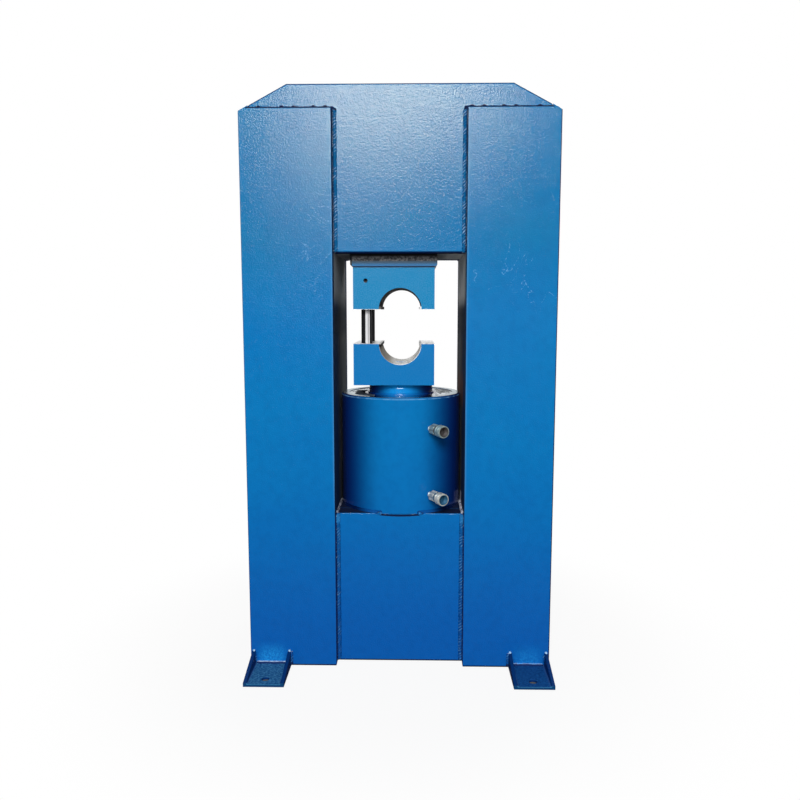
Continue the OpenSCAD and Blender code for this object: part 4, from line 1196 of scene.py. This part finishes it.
def flat_faced_poppet():
    """Valve poppet: stem, sealing shoulder and a head with a shallow dimple."""
    return turned(
        "flat_faced_poppet",
        [(0, POPPET_START), (POPPET_STEM - 0.3, POPPET_START), (POPPET_STEM, POPPET_START + 0.3),
         (POPPET_STEM, 190.2), (POPPET_SHOULDER - 0.2, 190.2), (POPPET_SHOULDER, 190.4),
         (POPPET_SHOULDER, 193.0), (POPPET_SHOULDER - 0.2, 193.2), (POPPET_HEAD, 193.2),
         (POPPET_HEAD, POPPET_END - 0.3), (3.6, POPPET_END), (2.0, POPPET_END), (1.6, POPPET_END - 0.5),
         (0, POPPET_END - 0.5)],
        40,
    )


def poppet_spring():
    """Coil of round wire between the nipple and the poppet."""
    wire_sides = 10
    bpy.ops.object.select_all(action="DESELECT")
    bpy.ops.mesh.primitive_circle_add(
        vertices=wire_sides, radius=SPRING_WIRE * MM, rotation=(math.pi / 2, 0, 0)
    )
    bpy.ops.object.transform_apply(location=True, rotation=True, scale=True)
    coil = bpy.context.object
    coil.name = "poppet_coil_spring"
    for point in coil.data.vertices:
        point.co += Vector((SPRING_RADIUS * MM, 0, SPRING_START * MM))
    return wound(coil, SPRING_PITCH, 5, 32, wire_sides)


dull_zinc = (upper_zinc, lower_zinc)
on_frame = ("frame", "frame")
place_coupler_part(threaded_nipple(), "nipple", (pale_zinc, pale_zinc), "bright_zinc", on_frame)
place_coupler_part(hexagon_body(), "body", dull_zinc, "grey_zinc", on_frame)
place_coupler_part(coupler_collar(), "sleeve", dull_zinc, "grey_zinc", ("upper_sleeve", "lower_sleeve"))
place_coupler_part(flat_faced_poppet(), "poppet", dull_zinc, "grey_zinc", ("upper_poppet", "lower_poppet"))
springs = place_coupler_part(poppet_spring(), "spring", (bright_zinc, bright_zinc), "bright_zinc", on_frame)
for position, spring in springs.items():
    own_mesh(spring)


# CAD nodes that keep their own shape

for finish, nodes in (
    (blue_enamel, ("left_outer_side_plate", "right_outer_side_plate", "crown_top_cover")),
    (bed_face_enamel, ("bed_top_plate",)),
    (window_plate_finish, ("left_window_wall", "right_window_wall", "crown_bearing_plate")),
    (window_plate_finish, ("crown_left_rib", "crown_right_rib", "bed_left_rib", "bed_right_rib")),
    (machined_steel, ("cylinder_base", "piston", "piston_nut")),
    (bearing_bronze, ("rod_bush", "piston_wear_rings", "front_guide_bush", "rear_guide_bush")),
    (black_rubber, ("rod_seal", "gland_o_ring", "piston_seal")),
    (black_oxide, ("lower_die_screw", "upper_die_screw", "pin_set_screws")),
    (pin_chrome, ("front_guide_pin", "rear_guide_pin")),
):
    for node in nodes:
        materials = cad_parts[node].data.materials
        materials.clear()
        materials.append(finish)


# Studio: pale floor, soft light, white background, camera

FILL_LEVEL = 0.13
FLOOR_RADIUS = 1.1
LIGHT_AIM = (0.0, 0.0, 0.9)
CAMERA_PLACE = (0.0362, -1.9041, 0.8568)
CAMERA_DIP = 0.1199
CAMERA_TURN = 0.0202
CAMERA_LENS = 33.86
CAMERA_SENSOR = 36


def studio_floor():
    """Pale floor that keeps the shadow under the press, with painted shade under the feet, and fades to white
    away from it.
    """
    bpy.ops.object.select_all(action="DESELECT")
    bpy.ops.mesh.primitive_circle_add(vertices=96, radius=FLOOR_RADIUS, fill_type="NGON")
    floor = bpy.context.object
    floor.name = "studio_floor"
    f = Finish("pale_studio_floor")
    seen = f.add("LightPath").outputs["Is Camera Ray"]
    from_middle = f.add("VectorMath", {0: f.place}, operation="LENGTH").outputs["Value"]
    foot_reach = abs(FOOT_LOW.y)
    # Painted shade: the floor is dark under the feet, where it shows through the anchor holes.
    under_foot = f.product(
        f.within(f.gap(f.gap(f.x), FOOT_MIDDLE), 42 * MM, 38 * MM),
        f.within(f.gap(f.y), foot_reach, foot_reach - 4 * MM),
    )
    white = f.product(
        seen, f.within(from_middle, 0.40, 0.95, 0.90, 1.0), f.within(under_foot, 0.0, 1.0, 1.0, 0.06)
    )
    lit = f.blend(under_foot, colour(0.80, 0.80, 0.80), colour(0.045, 0.050, 0.060))
    base = f.blend(seen, colour(0.16, 0.16, 0.16), lit)
    f.set(base_color=base, roughness=0.9, specular_ior_level=0.0)
    glow = f.add("Emission", {"Color": colour(1.0, 1.0, 1.0), "Strength": 1.0})
    both = f.add("MixShader", {0: white, 1: f.shader.outputs[0], 2: glow.outputs[0]})
    f.tree.links.new(both.outputs[0], f.tree.nodes["Material Output"].inputs["Surface"])
    floor.data.materials.append(f.material)


def studio_world():
    """White background behind the press, a dim room in front of it, and an even fill light."""
    world = bpy.data.worlds.new("studio_world")
    bpy.context.scene.world = world
    world.use_nodes = True
    w = Nodes(world.node_tree)
    path = w.add("LightPath").outputs
    _, rearwards, _ = w.parts(w.add("TexCoord").outputs["Generated"])
    room = w.within(rearwards, -0.35, 0.25, 0.04, 1.0)
    mirrored = w.either(path["Is Glossy Ray"], path["Is Transmission Ray"])
    unseen = w.mix(mirrored, FILL_LEVEL, room)
    backdrop = w.tree.nodes["Background"]
    w.feed(backdrop.inputs["Color"], colour(1.0, 1.0, 1.0))
    w.feed(backdrop.inputs["Strength"], w.mix(path["Is Camera Ray"], unseen, 1.0))


def soft_light(name, location, target, width, height, watts, mirrored=True, roll=0.0):
    """Area light, rolled about its own axis. One that isn't mirrored doesn't show in the press's gloss."""
    light = bpy.data.lights.new(name, "AREA")
    light.shape = "RECTANGLE"
    light.size = width
    light.size_y = height
    light.energy = watts
    lamp = bpy.data.objects.new(name, light)
    bpy.context.collection.objects.link(lamp)
    lamp.location = location
    aim = (Vector(target) - Vector(location)).to_track_quat("-Z", "Y")
    lamp.rotation_euler = (aim @ Quaternion((0, 0, 1), math.radians(roll))).to_euler()
    lamp.visible_glossy = mirrored


studio_floor()
studio_world()
soft_light("front_softbox", (-0.13, -4.55, 2.81), LIGHT_AIM, 1.8, 1.2, 196, roll=13.5)
soft_light("low_reflector", (-0.56, -4.55, 1.60), LIGHT_AIM, 1.2, 0.5, 8.0, roll=10)
soft_light("front_fill", (0.2, -4.6, 1.3), (0.0, 0.0, 0.8), 2.6, 1.8, 67, mirrored=False)
soft_light("rear_softbox", (0.8, 3.2, 3.4), (0.0, 0.0, 0.7), 2.4, 2.0, 60, mirrored=False)

camera = bpy.data.objects.new("photo_camera", bpy.data.cameras.new("photo_camera"))
bpy.context.collection.objects.link(camera)
camera.location = CAMERA_PLACE
camera.rotation_euler = (math.pi / 2 - CAMERA_DIP, 0, CAMERA_TURN)
camera.data.lens = CAMERA_LENS
camera.data.sensor_width = CAMERA_SENSOR
bpy.context.scene.camera = camera
bpy.context.scene.view_settings.view_transform = "Standard"
